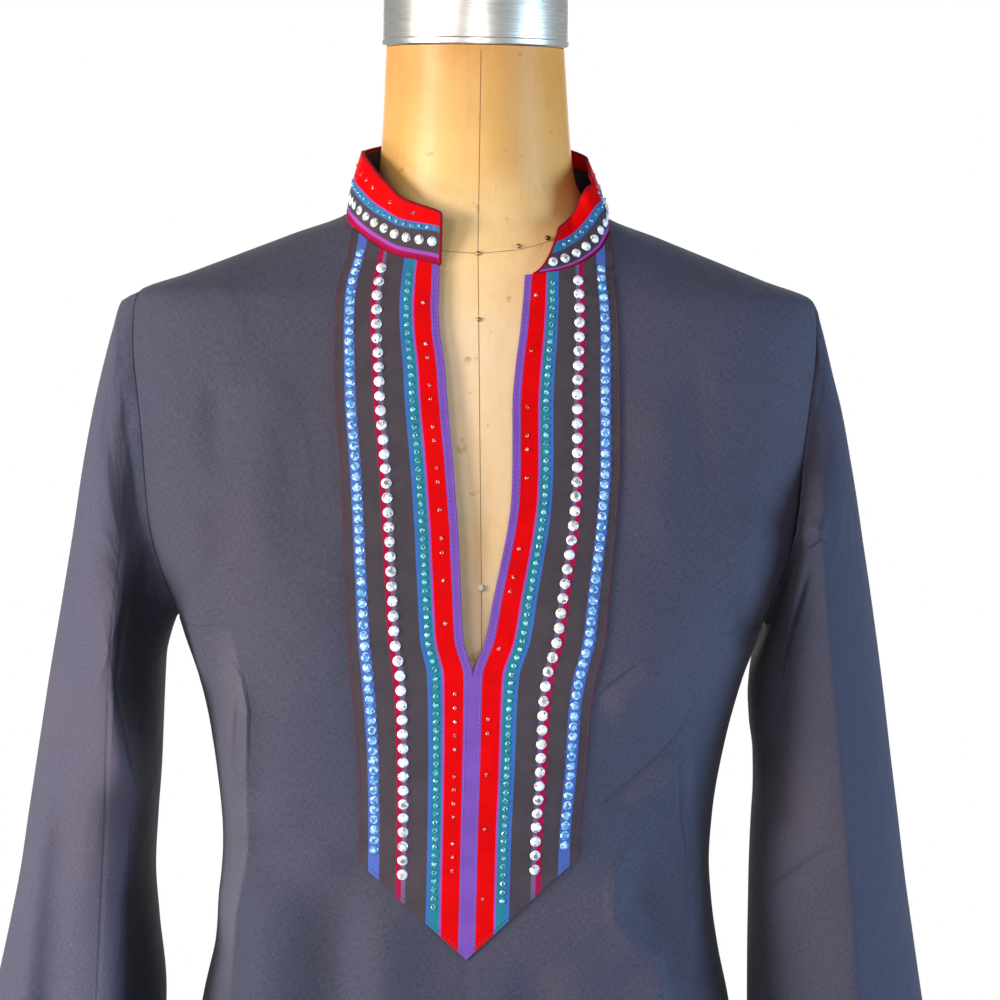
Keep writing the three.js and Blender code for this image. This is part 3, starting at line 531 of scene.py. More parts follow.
def crease_height(tree, folds):
    """The sharp creases of a list of folds: their height in metres, and how strong the painted
    shade and the painted highlight on the cloth are, from 0 to 1. Each segment is a tent over the
    plane of x and drop."""
    number = partial(add_maths, tree)
    axes = split(tree, object_place(tree))
    drop = number("SUBTRACT", NECK_POINT_Z * MM, axes["Z"])
    spot = combine(tree, {"X": axes["X"], "Y": drop})

    def vector(operation, first, second, output="Vector"):
        inputs = {0: first, "Scale" if operation == "SCALE" else 1: second}
        return node_output(tree, "ShaderNodeVectorMath", inputs, output, operation=operation)

    height, painted_shade, painted_highlight = 0.0, 0.0, 0.0
    for depth, left, right, power, line in folds:
        if power > 1:
            continue
        peak = 0.0
        last = len(line) - 2
        for segment, ends in enumerate(zip(line, line[1:])):
            start, end = (Vector((*place, 0)) for place in ends)
            run = (end - start) * MM
            away = vector("SUBTRACT", spot, start * MM)
            along = vector("DOT_PRODUCT", away, run / run.length_squared, "Value")
            share = number("ADD", along, 0.0, clamp=True)
            off = vector("DISTANCE", away, vector("SCALE", run, share), "Value")
            aside = vector("DOT_PRODUCT", away, Vector((run.y, -run.x, 0)), "Value")
            on_left = number("LESS_THAN", aside, 0.0)
            reach = number("MULTIPLY_ADD", on_left, (left - right) * MM, right * MM)
            tent = number("SUBTRACT", 1.0, number("DIVIDE", off, reach), clamp=True)
            if segment == 0:
                tent = number("MULTIPLY", tent, number("POWER", share, CREASE_END_POWER))
            if segment == last:
                rest = number("SUBTRACT", 1.0, share)
                tent = number("MULTIPLY", tent, number("POWER", rest, CREASE_END_POWER))
            peak = number("MAXIMUM", peak, tent)
        # Power 0 is painted shade where the cloth turns under, and, below 0, a painted highlight.
        if power == 0 and depth > 0:
            painted_shade = number("MAXIMUM", painted_shade, number("MULTIPLY", peak, depth))
        elif power == 0:
            painted_highlight = number("MAXIMUM", painted_highlight, number("MULTIPLY", peak, -depth))
        else:
            height = number("MULTIPLY_ADD", peak, depth * MM, height)
        # A groove's valley gets painted shade.
        if power == 1 and depth < 0:
            deep = number("POWER", peak, CREASE_SHADE_POWER)
            painted_shade = number("MAXIMUM", painted_shade, number("MULTIPLY", deep, CREASE_SHADE))
    return height, painted_shade, painted_highlight


def make_cotton(name, folds, fade=1.0):
    """Charcoal cotton: blue-grey with random patches of brown-grey, finely streaked, creased by
    wear, dark in its seams and puckered beside them. The folds whose power is 1 are its sharp
    creases, with painted shade down their valleys, and those whose power is 0 are painted shade
    and painted highlights. Fade makes the whole piece lighter or darker, as painted light and shade
    for how the light falls on it."""
    material, tree = new_material(name)
    cut = cut_map(tree)
    tint = colour_ramp(
        tree,
        add_noise(tree, cut, 5.0, 1.0),
        [(0.3, srgb(73, 75, 95)), (0.5, srgb(79, 77, 95)), (0.7, srgb(85, 79, 93))],
    )
    # The slubs, made lighter or darker by fade: painted light and shade for the whole piece.
    light = colour_ramp(
        tree, woven_slubs(tree, cut), [(0.36, grey(0.76 * fade)), (0.64, grey(1.24 * fade))]
    )
    creases, deep, painted_highlight_share = crease_height(tree, folds)
    colour = mix_colours(tree, 1.0, tint, light, "MULTIPLY")
    colour = mix_colours(tree, seam_share(tree, SEAM_LINE), colour, srgb(30, 28, 36))
    # Painted highlight along the lit side of a fold.
    colour = mix_colours(tree, painted_highlight_share, colour, srgb(142, 134, 144))
    # Painted shade: near black down crease valleys and where the cloth turns under.
    colour = mix_colours(tree, deep, colour, srgb(8, 7, 10))
    wear = add_noise(tree, cut, 15.0, 3.0, 1.0)
    gathers = add_noise(tree, cut, 80.0, 1.0)
    pucker = add_maths(tree, "MULTIPLY", gathers, seam_share(tree, PUCKER_REACH))
    surface = add_bump(tree, woven_height(tree, cut), 0.3, 0.0003)
    surface = add_bump(tree, wear, 0.35, 0.008, surface)
    surface = add_bump(tree, pucker, 0.5, 0.004, surface)
    surface = add_bump(tree, creases, 1.0, 1.0, surface)
    finish_shader(
        tree,
        {
            "Base Color": colour,
            "Roughness": 0.75,
            "Specular IOR Level": 0.15,
            "Sheen Weight": 0.08,
            "Sheen Roughness": 0.45,
            "Normal": surface,
        },
    )
    return material


SKIRT_DROP = 440


def side_drops():
    """Rows of the panels: close at the neck and the waist, wider above the hem."""
    neck = np.arange(0.2, 34, 1.7)
    shoulder = np.linspace(34.5, SHOULDER_TIP_DROP, 7)
    chest = np.linspace(SHOULDER_TIP_DROP, ARMPIT_DROP, 57)[1:]
    waist = np.linspace(ARMPIT_DROP, SKIRT_DROP, 97)[1:]
    skirt = np.linspace(SKIRT_DROP, HEM_DROP, 45)[1:]
    return np.concatenate([neck, shoulder, chest, waist, skirt])


def seam_arcs(panel, drops):
    """How far a panel reaches: to the armhole between the shoulder and the armpit."""
    ends = quarter_rings(panel, drops)[2][:, -1]
    cut = arc_at_x(panel, drops, armhole("x", drops))
    at_armhole = (drops > SHOULDER_TIP_DROP) & (drops < ARMPIT_DROP)
    return np.where(at_armhole, cut, ends)


SIDES = {"left": -1, "right": 1}
# A half of the front has few columns where the placket covers it, and many beyond.
COVERED_SHARE = 0.3
COVERED_COLUMNS = 14
OPEN_COLUMNS = 82


def front_opening(name, drops):
    """Where a half of the front starts: at the neckline, the slit or the middle."""
    at_neck = drops < NECK_END_DROP[name]
    slit = placket_edges(name + "_slit", drops)
    return np.where(at_neck, SIDES[name] * neckline(name, drops), slit)


def front_grids():
    """The two halves of the front, with the row nearest the slit's end moved onto it."""
    drops = side_drops()
    drops[np.argmin(np.abs(drops - SLIT_DROP))] = SLIT_DROP
    grids = []
    for name, sign in SIDES.items():
        start = arc_at_x("front", drops, front_opening(name, drops))
        end = seam_arcs("front", drops)
        covered = np.linspace(0, COVERED_SHARE, COVERED_COLUMNS + 1)
        beyond = np.linspace(COVERED_SHARE, 1, OPEN_COLUMNS + 1)[1:]
        share = np.concatenate([covered, beyond])[None, :]
        arcs = start[:, None] + (sign * end - start)[:, None] * share
        if sign < 0:
            arcs = arcs[:, ::-1]
        points = panel_points("front", drops, arcs, end, FRONT_FOLDS)
        cut = np.stack([arcs, np.broadcast_to(-drops[:, None], arcs.shape)], axis=-1) * MM
        grid = {"points": points, "cut": cut, "mark": end[:, None] - np.abs(arcs)}
        grids.append({**grid, "slot": len(grids)})
    return grids


CLOTH_WALL = 1.0
# Painted light and shade: each half's cotton made darker or lighter for how the light falls on it.
FRONT_PAINTED_LIGHT = {"left": 0.84, "right": 0.95}
front = add_sheet("tunic_front", front_grids())
for name, sign in SIDES.items():
    folds = [fold for fold in FRONT_FOLDS if fold[-1][0][0] * sign > 0]
    front.data.materials.append(make_cotton("cotton_front_" + name, folds, FRONT_PAINTED_LIGHT[name]))
give_wall(front, CLOTH_WALL)
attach(front, "root")
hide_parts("front")

# ---- Back panel --------------------------------------------------------------------------------
# The same cotton in one piece, cut higher at the neck, plain but for the folds at the waist.
BACK_FOLDS = [
    (-5, 16, 16, 2, [(-90, 300), (-60, 380)]),
    (-5, 14, 14, 2, [(96, 290), (66, 384)]),
    (-6, 18, 18, 2, [(-36, 380), (-58, 700)]),
    (7, 16, 16, 2, [(20, 390), (30, 700)]),
    (-6, 20, 20, 2, [(92, 370), (108, 700)]),
    (7, 17, 17, 2, [(-98, 390), (-120, 700)]),
    (3.5, 16, 8, 2, [(-62, 90), (-50, 230)]),
    (3.5, 8, 16, 2, [(66, 90), (56, 235)]),
    (-1.4, 2, 10, 1, [(-128, 272), (-104, 318), (-80, 350)]),
    (-1.4, 10, 2, 1, [(126, 266), (104, 316), (74, 356)]),
    (-1, 2, 8, 1, [(-150, 220), (-110, 300)]),
    (-1, 8, 2, 1, [(148, 214), (112, 296)]),
]
BACK_TOP_DROP = -10
BACK_COLUMNS = 120
back_neckline = smooth_table(
    ["drop", "x"], [[-10, 12], [-9, 32], [-6.5, 50], [-3, 66], [0, 76]]
)


def back_grid():
    drops = np.concatenate([np.arange(BACK_TOP_DROP, 0, 1.0), side_drops()])
    at_neck = drops < 0
    end = seam_arcs("back", drops)
    end[at_neck] = arc_at_x("back", drops[at_neck], back_neckline("x", drops[at_neck]))
    share = np.linspace(1, -1, BACK_COLUMNS + 1)[None, :]
    arcs = end[:, None] * share
    points = panel_points("back", drops, arcs, end, BACK_FOLDS)
    cut = np.stack([arcs, np.broadcast_to(-drops[:, None], arcs.shape)], axis=-1) * MM
    cut += CUT_SHIFTS["back"]
    return {"points": points, "cut": cut, "mark": end[:, None] - np.abs(arcs)}


back = add_sheet("tunic_back", [back_grid()])
back.data.materials.append(make_cotton("cotton_back", BACK_FOLDS))
give_wall(back, CLOTH_WALL)
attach(back, "root")
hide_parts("back")

# ---- Sleeves -----------------------------------------------------------------------------------
# Each is one tube of the same cotton, set into the armhole and widening to an open cuff. Rings
# lean from an outer point over the shoulder to an inner point under the arm.
SLEEVE_COLUMNS = ["ring", "outer_x", "outer_drop", "inner_x", "inner_drop", "front", "back"]
SEAM_RING = [0, 197.6, SHOULDER_TIP_DROP, 171.5, ARMPIT_DROP, 46, 46]
SEAM_SHAPE_RINGS = 6
SEAM_STEP = 2.5
SLEEVE_RINGS = {
    "left": [
        SEAM_RING,
        [1, 205.5, 53, 172.2, 239, 47, 54],
        [2, 210.5, 68, 174, 243, 50.5, 58],
        [3, 216, 88, 176, 248, 55.5, 62],
        [4, 222, 113, 178, 254, 62, 66],
        [5, 228.5, 147, 180, 262, 66, 70],
        [6, 234.5, 186, 181, 273, 69, 73],
        [7, 241, 228, 181.5, 286, 71, 75],
        [8, 248, 271, 182, 303, 72, 76],
        [9, 254.5, 315, 182.8, 328, 73, 77],
        [10, 259.5, 350, 184.6, 356, 73, 77],
        [11, 264.5, 386, 186, 388, 73, 77],
        [12, 271, 420, 183.5, 420, 72, 76],
        [13, 280.5, 465, 179, 465, 71, 75],
        [14, 292, 520, 181, 520, 70, 74],
        [15, 304, 580, 186, 580, 69, 73],
        [16, 316, 640, 192, 640, 68, 72],
    ],
    "right": [
        SEAM_RING,
        [1, 198.5, 53, 172, 239, 47, 54],
        [2, 203, 68, 172, 244, 50.5, 58],
        [3, 208.5, 88, 170, 250, 55.5, 62],
        [4, 215.5, 113, 167.5, 258, 62, 66],
        [5, 222.5, 147, 165, 268, 66, 70],
        [6, 229.5, 186, 164.5, 280, 69, 73],
        [7, 236.5, 228, 165.5, 296, 71, 75],
        [8, 243, 271, 168, 315, 72, 76],
        [9, 249, 315, 168.5, 335, 73, 77],
        [10, 254, 350, 167.6, 358, 73, 77],
        [11, 259, 386, 167, 390, 73, 77],
        [12, 264.5, 420, 167, 420, 72, 76],
        [13, 272, 465, 167.5, 465, 71, 75],
        [14, 282, 520, 172.5, 520, 70, 74],
        [15, 294, 580, 180, 580, 69, 73],
        [16, 305, 640, 188, 640, 68, 72],
    ],
}

SLEEVE_FOLDS = {
    "left": {
        "front": [
            (-0.5, 1.3, 2.4, 1, [(-199, 150), (-206.6, 298), (-219, 640)]),
            # painted shade where the sleeve turns under towards the body
            (0.85, 1.5, 46, 0, [(-187, 188), (-200, 232), (-202, 270), (-188, 350)]),
            (0.85, 5, 50, 0, [(-187, 330), (-196, 396), (-197, 700)]),
            (19, 15, 6, 1.7, [(-198, 196), (-202, 240), (-203, 272), (-195, 316), (-189, 354)]),
            (11, 14, 9, 1.5, [(-190, 330), (-197, 390), (-203, 460), (-209, 640)]),
            (1.4, 5, 2, 1, [(-195, 209), (-202, 270), (-190, 340)]),
            (-7, 14, 14, 2, [(-230, 270), (-233, 326), (-240, 452), (-252, 640)]),
            (6, 10, 10, 2, [(-246, 330), (-252, 391), (-268, 640)]),
            (-1.2, 2, 4, 1, [(-174, 203), (-190, 216)]),
            (-0.8, 2, 5, 1, [(-182, 230), (-197, 252)]),
        ],
        "back": [
            (-6, 16, 16, 2, [(-215, 280), (-226, 640)]),
            (4, 14, 14, 2, [(-244, 250), (-270, 640)]),
            (-1.2, 2, 8, 1, [(-184, 240), (-210, 310)]),
        ],
    },
    "right": {
        "front": [
            (14, 20, 22, 1.1, [(197, 130), (199.5, 188), (206, 250), (214.2, 329), (223, 417),
                               (238, 640)]),
            (-12, 5, 6, 1.4, [(182, 180), (177, 203), (170, 237), (164, 290)]),
            (-9, 5, 8, 1.5, [(195, 190), (185, 236), (176, 300), (173, 340)]),
            (8, 5, 6, 1.6, [(190, 188), (181, 235), (172, 285)]),
            # painted shade where the cloth turns under at the armpit
            (0.45, 12, 8, 0, [(182, 176), (180, 230), (171, 330)]),
            (8, 4, 5, 1.4, [(202, 176), (190, 175), (179, 183)]),
            (-1.6, 1.5, 4, 1, [(201, 181), (195, 186), (180, 196)]),
            (-1.5, 2, 5, 1, [(196, 200), (184, 250), (178, 300)]),
            (-6, 9, 9, 2, [(179, 290), (184, 360)]),
            (-1.2, 3, 10, 1, [(212, 356), (192, 370), (180, 382), (162, 400)]),
            (-5, 14, 14, 2, [(194, 380), (200, 452), (206, 640)]),
            (-0.8, 4, 10, 1, [(202, 420), (168, 440)]),
        ],
        "back": [
            (-6, 16, 16, 2, [(208, 280), (220, 640)]),
            (4, 14, 14, 2, [(236, 250), (262, 640)]),
            (-1.2, 8, 2, 1, [(178, 240), (204, 310)]),
        ],
    },
}
SLEEVE_DEGREES = np.concatenate([
    np.linspace(0, 180, 96, endpoint=False), np.linspace(180, 360, 56, endpoint=False)
])
SLEEVE_ROWS = 220
SLEEVE_GIRTH = 420
SLEEVE_FADE_DEGREES = 14
# Painted light and shade: the left sleeve's cotton made lighter and the right's darker.
SLEEVE_PAINTED_LIGHT = {"left": 1.16, "right": 0.82}


def panel_depth(panel, x, drop):
    """How far a panel's smooth cloth stands from the middle plane at x."""
    width = body_rings("half_width", drop)
    power = body_rings(panel + "_power", drop)
    inside = np.clip(1 - (np.abs(x) / width) ** power, 0, 1)
    return body_rings(panel, drop) * inside ** (1 / power)


def sleeve_fold(name, degrees, x, drop):
    """The folds of a sleeve, which fade at its outer and inner edges."""
    x = SIDES[name] * np.broadcast_to(x, drop.shape)
    front = fold_height(SLEEVE_FOLDS[name]["front"], x, drop)
    back = fold_height(SLEEVE_FOLDS[name]["back"], x, drop)
    half = np.where(degrees <= 180, degrees, degrees - 180)
    fade = smoothstep(np.minimum(half, 180 - half) / SLEEVE_FADE_DEGREES)
    return fade * np.where(degrees <= 180, front, back)


def sleeve_grid(name):
    sign = SIDES[name]
    table = np.array(SLEEVE_RINGS[name], float)
    rings = smooth_table(SLEEVE_COLUMNS, SLEEVE_RINGS[name])
    drops = np.linspace(SHOULDER_TIP_DROP, table[-1, 2], SLEEVE_ROWS)
    ring = np.interp(drops, table[:, 2], table[:, 0])[:, None]
    degrees = SLEEVE_DEGREES[None, :]
    angle = np.radians(degrees)
    at = {key: rings(key, ring) for key in SLEEVE_COLUMNS[1:]}

    def oval(values, fold=True):
        middle_x = (values["outer_x"] + values["inner_x"]) / 2
        middle_drop = (values["outer_drop"] + values["inner_drop"]) / 2
        lean_x = (values["outer_x"] - values["inner_x"]) / 2
        lean_drop = (values["outer_drop"] - values["inner_drop"]) / 2
        x = middle_x + lean_x * np.cos(angle)
        drop = middle_drop + lean_drop * np.cos(angle)
        y = np.where(degrees <= 180, -values["front"], values["back"]) * np.abs(np.sin(angle))
        spot = np.stack(np.broadcast_arrays(x, y, drop), axis=-1)
        if fold:
            spot[..., 1] += np.where(degrees <= 180, -1, 1) * sleeve_fold(name, degrees, x, drop)
        return spot

    points = oval(at)
    seam_drop = SHOULDER_TIP_DROP + (ARMPIT_DROP - SHOULDER_TIP_DROP) * (1 - np.cos(angle)) / 2
    seam_x = armhole("x", seam_drop)
    depth = np.where(
        degrees <= 180,
        -panel_depth("front", seam_x, seam_drop),
        panel_depth("back", seam_x, seam_drop),
    )
    seam = np.stack([seam_x, depth, seam_drop], axis=-1)
    seam_oval = oval({key: np.array([[v]]) for key, v in zip(at, SEAM_RING[1:])}, fold=False)
    kept = np.clip(1 - ring / SEAM_SHAPE_RINGS, 0, 1)[..., None]
    points += kept * (seam - seam_oval)
    points[..., 0] += kept[..., 0] * SEAM_STEP * smoothstep(ring)
    points[..., 0] *= sign
    points[..., 2] = NECK_POINT_Z - points[..., 2]
    around = np.broadcast_to(degrees / 360 * SLEEVE_GIRTH * MM, points.shape[:2])
    along = np.broadcast_to(-drops[:, None] * MM, points.shape[:2])
    cut = np.stack([around, along], axis=-1) + CUT_SHIFTS[name]
    mark = np.linalg.norm(points - points[:1], axis=-1)
    grid = {"points": points, "cut": cut, "mark": mark}
    if sign > 0:
        grid = {key: value[:, ::-1] for key, value in grid.items()}
    return {**grid, "closed": True}


for name in SIDES:
    sleeve = add_sheet("tunic_sleeve_" + name, [sleeve_grid(name)])
    sleeve.data.materials.append(
        make_cotton("cotton_sleeve_" + name, SLEEVE_FOLDS[name]["front"], SLEEVE_PAINTED_LIGHT[name])
    )
    give_wall(sleeve, CLOTH_WALL)
    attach(sleeve, "root")
    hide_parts("sleeve_" + name)

# ---- Placket -----------------------------------------------------------------------------------
# Ribbon stripes on a dark cotton ground, sewn on round the slit and down to a point below it.
# Stripes are told by their distance in mm from the slit, over a width of 63.5.
PLACKET_WALL = 1.0
PLACKET_LIFT = 0.3
PLACKET_TOP_DROP = 9
SHEAR_DROP = 305
CORNER_DROP = {"left": 366, "right": 361}
POINT_DROP = 419.5
BAND_WIDTH = 63.5
PLACKET_COLUMNS = 44
SLIT_ROWS = 111
CLOSED_ROWS = 21
POINT_ROWS = 29

VIOLET = srgb(124, 82, 178)
SCARLET = srgb(222, 4, 8)
LILAC = srgb(160, 78, 178)
TEAL = srgb(42, 128, 150)
AZURE = srgb(62, 112, 184)
GROUND = srgb(76, 68, 75)
MAUVE = srgb(112, 92, 134)
CRIMSON = srgb(168, 20, 68)
PERIWINKLE = srgb(84, 106, 186)
PIPING = srgb(92, 58, 68)
PLACKET_STRIPES = [
    (0.0, VIOLET),
    (4.9, SCARLET),
    (15.1, LILAC),
    (16.3, TEAL),
    (21.8, AZURE),
    (24.0, GROUND),
    (36.0, MAUVE),
    (38.6, CRIMSON),
    (41.8, GROUND),
    (51.4, PERIWINKLE),
    (57.9, GROUND),
    (62.7, PIPING),
]


def make_ribbon(name, stripes, width, label="band"):
    """Satin ribbon stripes, told by an attribute, with the ribbons a little proud."""
    material, tree = new_material(name)
    cut = cut_map(tree)
    place = add_maths(tree, "DIVIDE", attribute(tree, label), width)
    stops = [(at / width, colour) for at, colour in stripes]
    proud = [(at / width, grey(float(colour != GROUND))) for at, colour in stripes]
    shade = add_noise(tree, cut, 60.0, 4.0)
    light = colour_ramp(tree, shade, [(0.3, grey(0.9)), (0.7, grey(1.1))])
    colour = colour_ramp(tree, place, stops, "CONSTANT")
    raised = colour_ramp(tree, place, proud, "CONSTANT")
    surface = add_bump(tree, raised, 0.4, 0.0004)
    surface = add_bump(tree, woven_height(tree, cut), 0.25, 0.0003, surface)
    finish_shader(
        tree,
        {
            "Base Color": mix_colours(tree, 1.0, colour, light, "MULTIPLY"),
            "Roughness": 0.7,
            "Specular IOR Level": 0.05,
            "Normal": surface,
        },
    )
    return material


def raised_surface(depth, x, drop, height):
    """Points of a surface that stands depth in front of the middle plane, moved out by height,
    and their outward normals."""
    slope_x = depth(x + 0.5, drop) - depth(x - 0.5, drop)
    slope_drop = depth(x, drop + 0.5) - depth(x, drop - 0.5)
    normal = np.stack([-slope_x, -np.ones_like(x), slope_drop], axis=-1)
    normal /= np.linalg.norm(normal, axis=-1, keepdims=True)
    point = np.stack([x, -depth(x, drop), NECK_POINT_Z - drop], axis=-1)
    return point + normal * np.asarray(height)[..., None], normal


def front_surface(x, drop, lift):
    """Points of the front with its folds, moved out by lift, and their outward normals."""
    height = fold_height(FRONT_FOLDS, x, drop) + lift
    return raised_surface(partial(panel_depth, "front"), x, drop, height)


def placket_grid(name):
    """A half of the placket, from the slit out to its edge."""
    corner = CORNER_DROP[name]
    drops = np.concatenate([
        np.linspace(PLACKET_TOP_DROP, SLIT_DROP, SLIT_ROWS + 1),
        np.linspace(SLIT_DROP, SHEAR_DROP, CLOSED_ROWS + 1)[1:],
    ])
    down = np.linspace(0, 1, POINT_ROWS + 1)[1:, None]
    share = np.linspace(0, 1, PLACKET_COLUMNS + 1)[None, :]
    upper = np.broadcast_to(drops[:, None], (len(drops), share.size))
    lower = SHEAR_DROP + down * (corner - SHEAR_DROP + (1 - share) * (POINT_DROP - corner))
    drop = np.concatenate([upper, lower])
    slit = placket_edges(name + "_slit", drop)
    edge = placket_edges(name + "_edge", drop)
    start = front_opening(name, drop)
    x = start + (edge - start) * share
    mark = (x - slit) / (edge - slit) * BAND_WIDTH
    points, _ = front_surface(x, drop, PLACKET_LIFT + PLACKET_WALL)
    cut = np.stack([x, -drop], axis=-1) * MM + CUT_SHIFTS["placket"]
    grid = {"points": points, "cut": cut, "mark": mark}
    if SIDES[name] < 0:
        grid = {key: value[:, ::-1] for key, value in grid.items()}
    return grid


placket = add_sheet("tunic_placket", [placket_grid(name) for name in SIDES])
placket.data.materials.append(make_ribbon("placket_ribbon", PLACKET_STRIPES, BAND_WIDTH))
give_wall(placket, PLACKET_WALL)
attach(placket, "root")
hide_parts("placket")

# ---- Collar ------------------------------------------------------------------------------------
# A stand of the same stripes round the neck, with the scarlet at its top turned over to the
# inside. Its left end stands square and its right end has rolled forwards.
COLLAR_WALL = 1.6
COLLAR_HEIGHT = 30
COLLAR_COLUMNS = 260
COLLAR_ROWS = 26
LEAN_POWER = 1.3
RISE_POWER = 0.9
SLIP_POWER = 0.4
collar_shape = smooth_table(
    ["share", "rise", "lean", "slip"],
    [
        [0, 29.8, -0.5, 0],
        [0.05, 33, -2.5, 0],
        [0.09, 37, -6, 0],
        [0.14, 38, -8.5, 0],
        [0.2, 37, -8.5, 0],
        [0.26, 36, -8, 0],
        [0.35, 34.8, -4, 0],
        [0.5, 34, 0, 0],
        [0.62, 34, -6, 0],
        [0.68, 34.8, -10.5, 0],
        [0.72, 34.5, -11, 0],
        [0.75, 32.5, -11, 0],
        [0.78, 30.5, -11, 0],
        [0.81, 29, -11, 0],
        [0.84, 28.5, -9, 0.5],
        [0.87, 31, -12, 1],
        [0.9, 31.5, -16, 2.5],
        [0.94, 30, -16, 6.5],
        [0.97, 28.5, -13.5, 12],
        [1, 27, -9.5, 20],
    ],
)
COLLAR_STRIPES = [
    (0.0, CRIMSON),
    (3.2, LILAC),
    (5.0, GROUND),
    (16.0, AZURE),
    (17.2, TEAL),
    (19.8, AZURE),
    (20.5, LILAC),
    (21.0, SCARLET),
]
# The stripes aren't even: each row is where they change, as shares of the collar's height.
collar_bands = smooth_table(
    ["share", "crimson", "lilac", "ground", "teal", "lining"],
    [
        [0, 0.10, 0.17, 0.60, 0.71, 0.97],
        [0.05, 0.10, 0.165, 0.50, 0.63, 0.97],
        [0.12, 0.09, 0.15, 0.42, 0.56, 0.97],
        [0.3, 0.09, 0.15, 0.42, 0.56, 0.97],
        [0.55, 0.09, 0.15, 0.42, 0.56, 0.95],
        [0.64, 0.09, 0.15, 0.42, 0.56, 0.72],
        [0.8, 0.09, 0.15, 0.44, 0.6, 0.7],
        [0.88, 0.07, 0.12, 0.46, 0.64, 0.9],
        [1, 0.05, 0.09, 0.42, 0.67, 0.97],
    ],
)
# Where those four changes lie on the scale of the stripes, in mm.
BAND_MARKS = [3.2, 5, 16, 20.8]
LINING_EDGE = 10.0
LINING_STRIPES = [(0.0, GROUND), (LINING_EDGE, SCARLET)]
NAPE_HALF_WIDTH = 12
NAPE_POINTS = 20
SEAM_STRIDE = 0.1
SMOOTHED_COLUMNS = 15


def neck_seam():
    """The seam from the left end of the front round the back to the right end, in even steps."""
    left = np.arange(NECK_END_DROP["left"], 0, -SEAM_STRIDE)
    back = np.arange(0, BACK_TOP_DROP, -SEAM_STRIDE)
    right = np.arange(0, NECK_END_DROP["right"], SEAM_STRIDE)
    across = np.linspace(-NAPE_HALF_WIDTH, NAPE_HALF_WIDTH, NAPE_POINTS)
    left_x = -neckline("left", left)
    right_x = neckline("right", right)
    back_x = back_neckline("x", back)
    top = np.full_like(across, BACK_TOP_DROP)
    runs = [
        (left_x, -panel_depth("front", left_x, left), left),
        (-back_x, panel_depth("back", back_x, back), back),
        (across, panel_depth("back", across, top), top),
        (back_x[::-1], panel_depth("back", back_x, back)[::-1], back[::-1]),
        (right_x, -panel_depth("front", right_x, right), right),
    ]
    path = np.concatenate([np.stack(run, axis=-1) for run in runs])
    lengths = np.r_[0, np.cumsum(np.linalg.norm(np.diff(path, axis=0), axis=1))]
    even = np.linspace(0, lengths[-1], COLLAR_COLUMNS + 1)
    path = np.stack([np.interp(even, lengths, path[:, k]) for k in range(3)], axis=-1)
    path[:, 2] = NECK_POINT_Z - path[:, 2]
    return path, even[-1]


def collar_points(up):
    """Points of the collar's outer face at heights up, from 0 at the seam to 1 at the top."""
    path, _ = neck_seam()
    share = np.linspace(0, 1, len(path))
    tangent = np.gradient(path, axis=0)
    tangent[:, 2] = 0
    tangent /= np.linalg.norm(tangent, axis=1, keepdims=True)
    outwards = np.stack([tangent[:, 1], -tangent[:, 0], 0 * tangent[:, 0]], axis=-1)
    outwards *= np.sign((outwards * path * [1, 1, 0]).sum(axis=1, keepdims=True))
    kernel = np.hanning(SMOOTHED_COLUMNS) / np.hanning(SMOOTHED_COLUMNS).sum()
    padding = SMOOTHED_COLUMNS // 2
    padded = np.pad(outwards, ((padding, padding), (0, 0)), mode="edge")
    outwards = np.stack([np.convolve(padded[:, k], kernel, "valid") for k in range(3)], axis=-1)
    up = np.asarray(up, float)[:, None, None]
    lean, rise, slip = (
        collar_shape(key, share)[None, :, None] for key in ("lean", "rise", "slip")
    )
    points = path + outwards * lean * up**LEAN_POWER - tangent * slip * up**SLIP_POWER
    points[..., 2:] += rise * up**RISE_POWER
    return points


def collar_grid():
    up = np.linspace(1, 0, COLLAR_ROWS + 1)
    points = collar_points(up)
    _, length = neck_seam()
    along = np.linspace(0, length, points.shape[1])[None, :]
    mark = np.empty(points.shape[:2])
    lining = np.empty(points.shape[:2])
    for column, share in enumerate(np.linspace(0, 1, points.shape[1])):
        at = [collar_bands(key, share) for key in ("crimson", "lilac", "ground", "teal")]
        mark[:, column] = np.interp(up, [0, *at, 1], [0, *BAND_MARKS, COLLAR_HEIGHT])
        lining[:, column] = LINING_EDGE + (up - collar_bands("lining", share)) * COLLAR_HEIGHT
    cut = np.stack(np.broadcast_arrays(along, mark), axis=-1) * MM + CUT_SHIFTS["collar"]
    grid = {"points": points, "cut": cut, "mark": mark, "lining": lining.clip(0)}
    return {key: value[:, ::-1] for key, value in grid.items()}


collar = add_sheet("tunic_collar", [collar_grid()])
collar.data.materials.append(make_ribbon("collar_ribbon", COLLAR_STRIPES, COLLAR_HEIGHT))
collar.data.materials.append(
    make_ribbon("collar_lining", LINING_STRIPES, COLLAR_HEIGHT, "lining")
)
give_wall(collar, COLLAR_WALL, lining=1)
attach(collar, "root")
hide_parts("collar")

# ---- Stitching and piping ----------------------------------------------------------------------
# Edges are topstitched a little way in, and a thin bias-cut cord binds the collar's rim and ends.
# The thread lies in short stitches, one to every 2 or 3 mm.
def row_object(name, rows):
    """Lines of points, each with the way its surface faces, for what is set along them."""
    mesh = bpy.data.meshes.new(name)
    points, facing, edges = [], [], []
    for line, normals in rows:
        first = len(points)
        points.extend((line * MM).tolist())
        facing.extend(normals.tolist())
        edges.extend((i, i + 1) for i in range(first, first + len(line) - 1))
    mesh.from_pydata(points, edges, [])
    ways = mesh.attributes.new("facing", "FLOAT_VECTOR", "POINT")
    ways.data.foreach_set("vector", np.array(facing, float).ravel())
    return add_object(name, mesh)


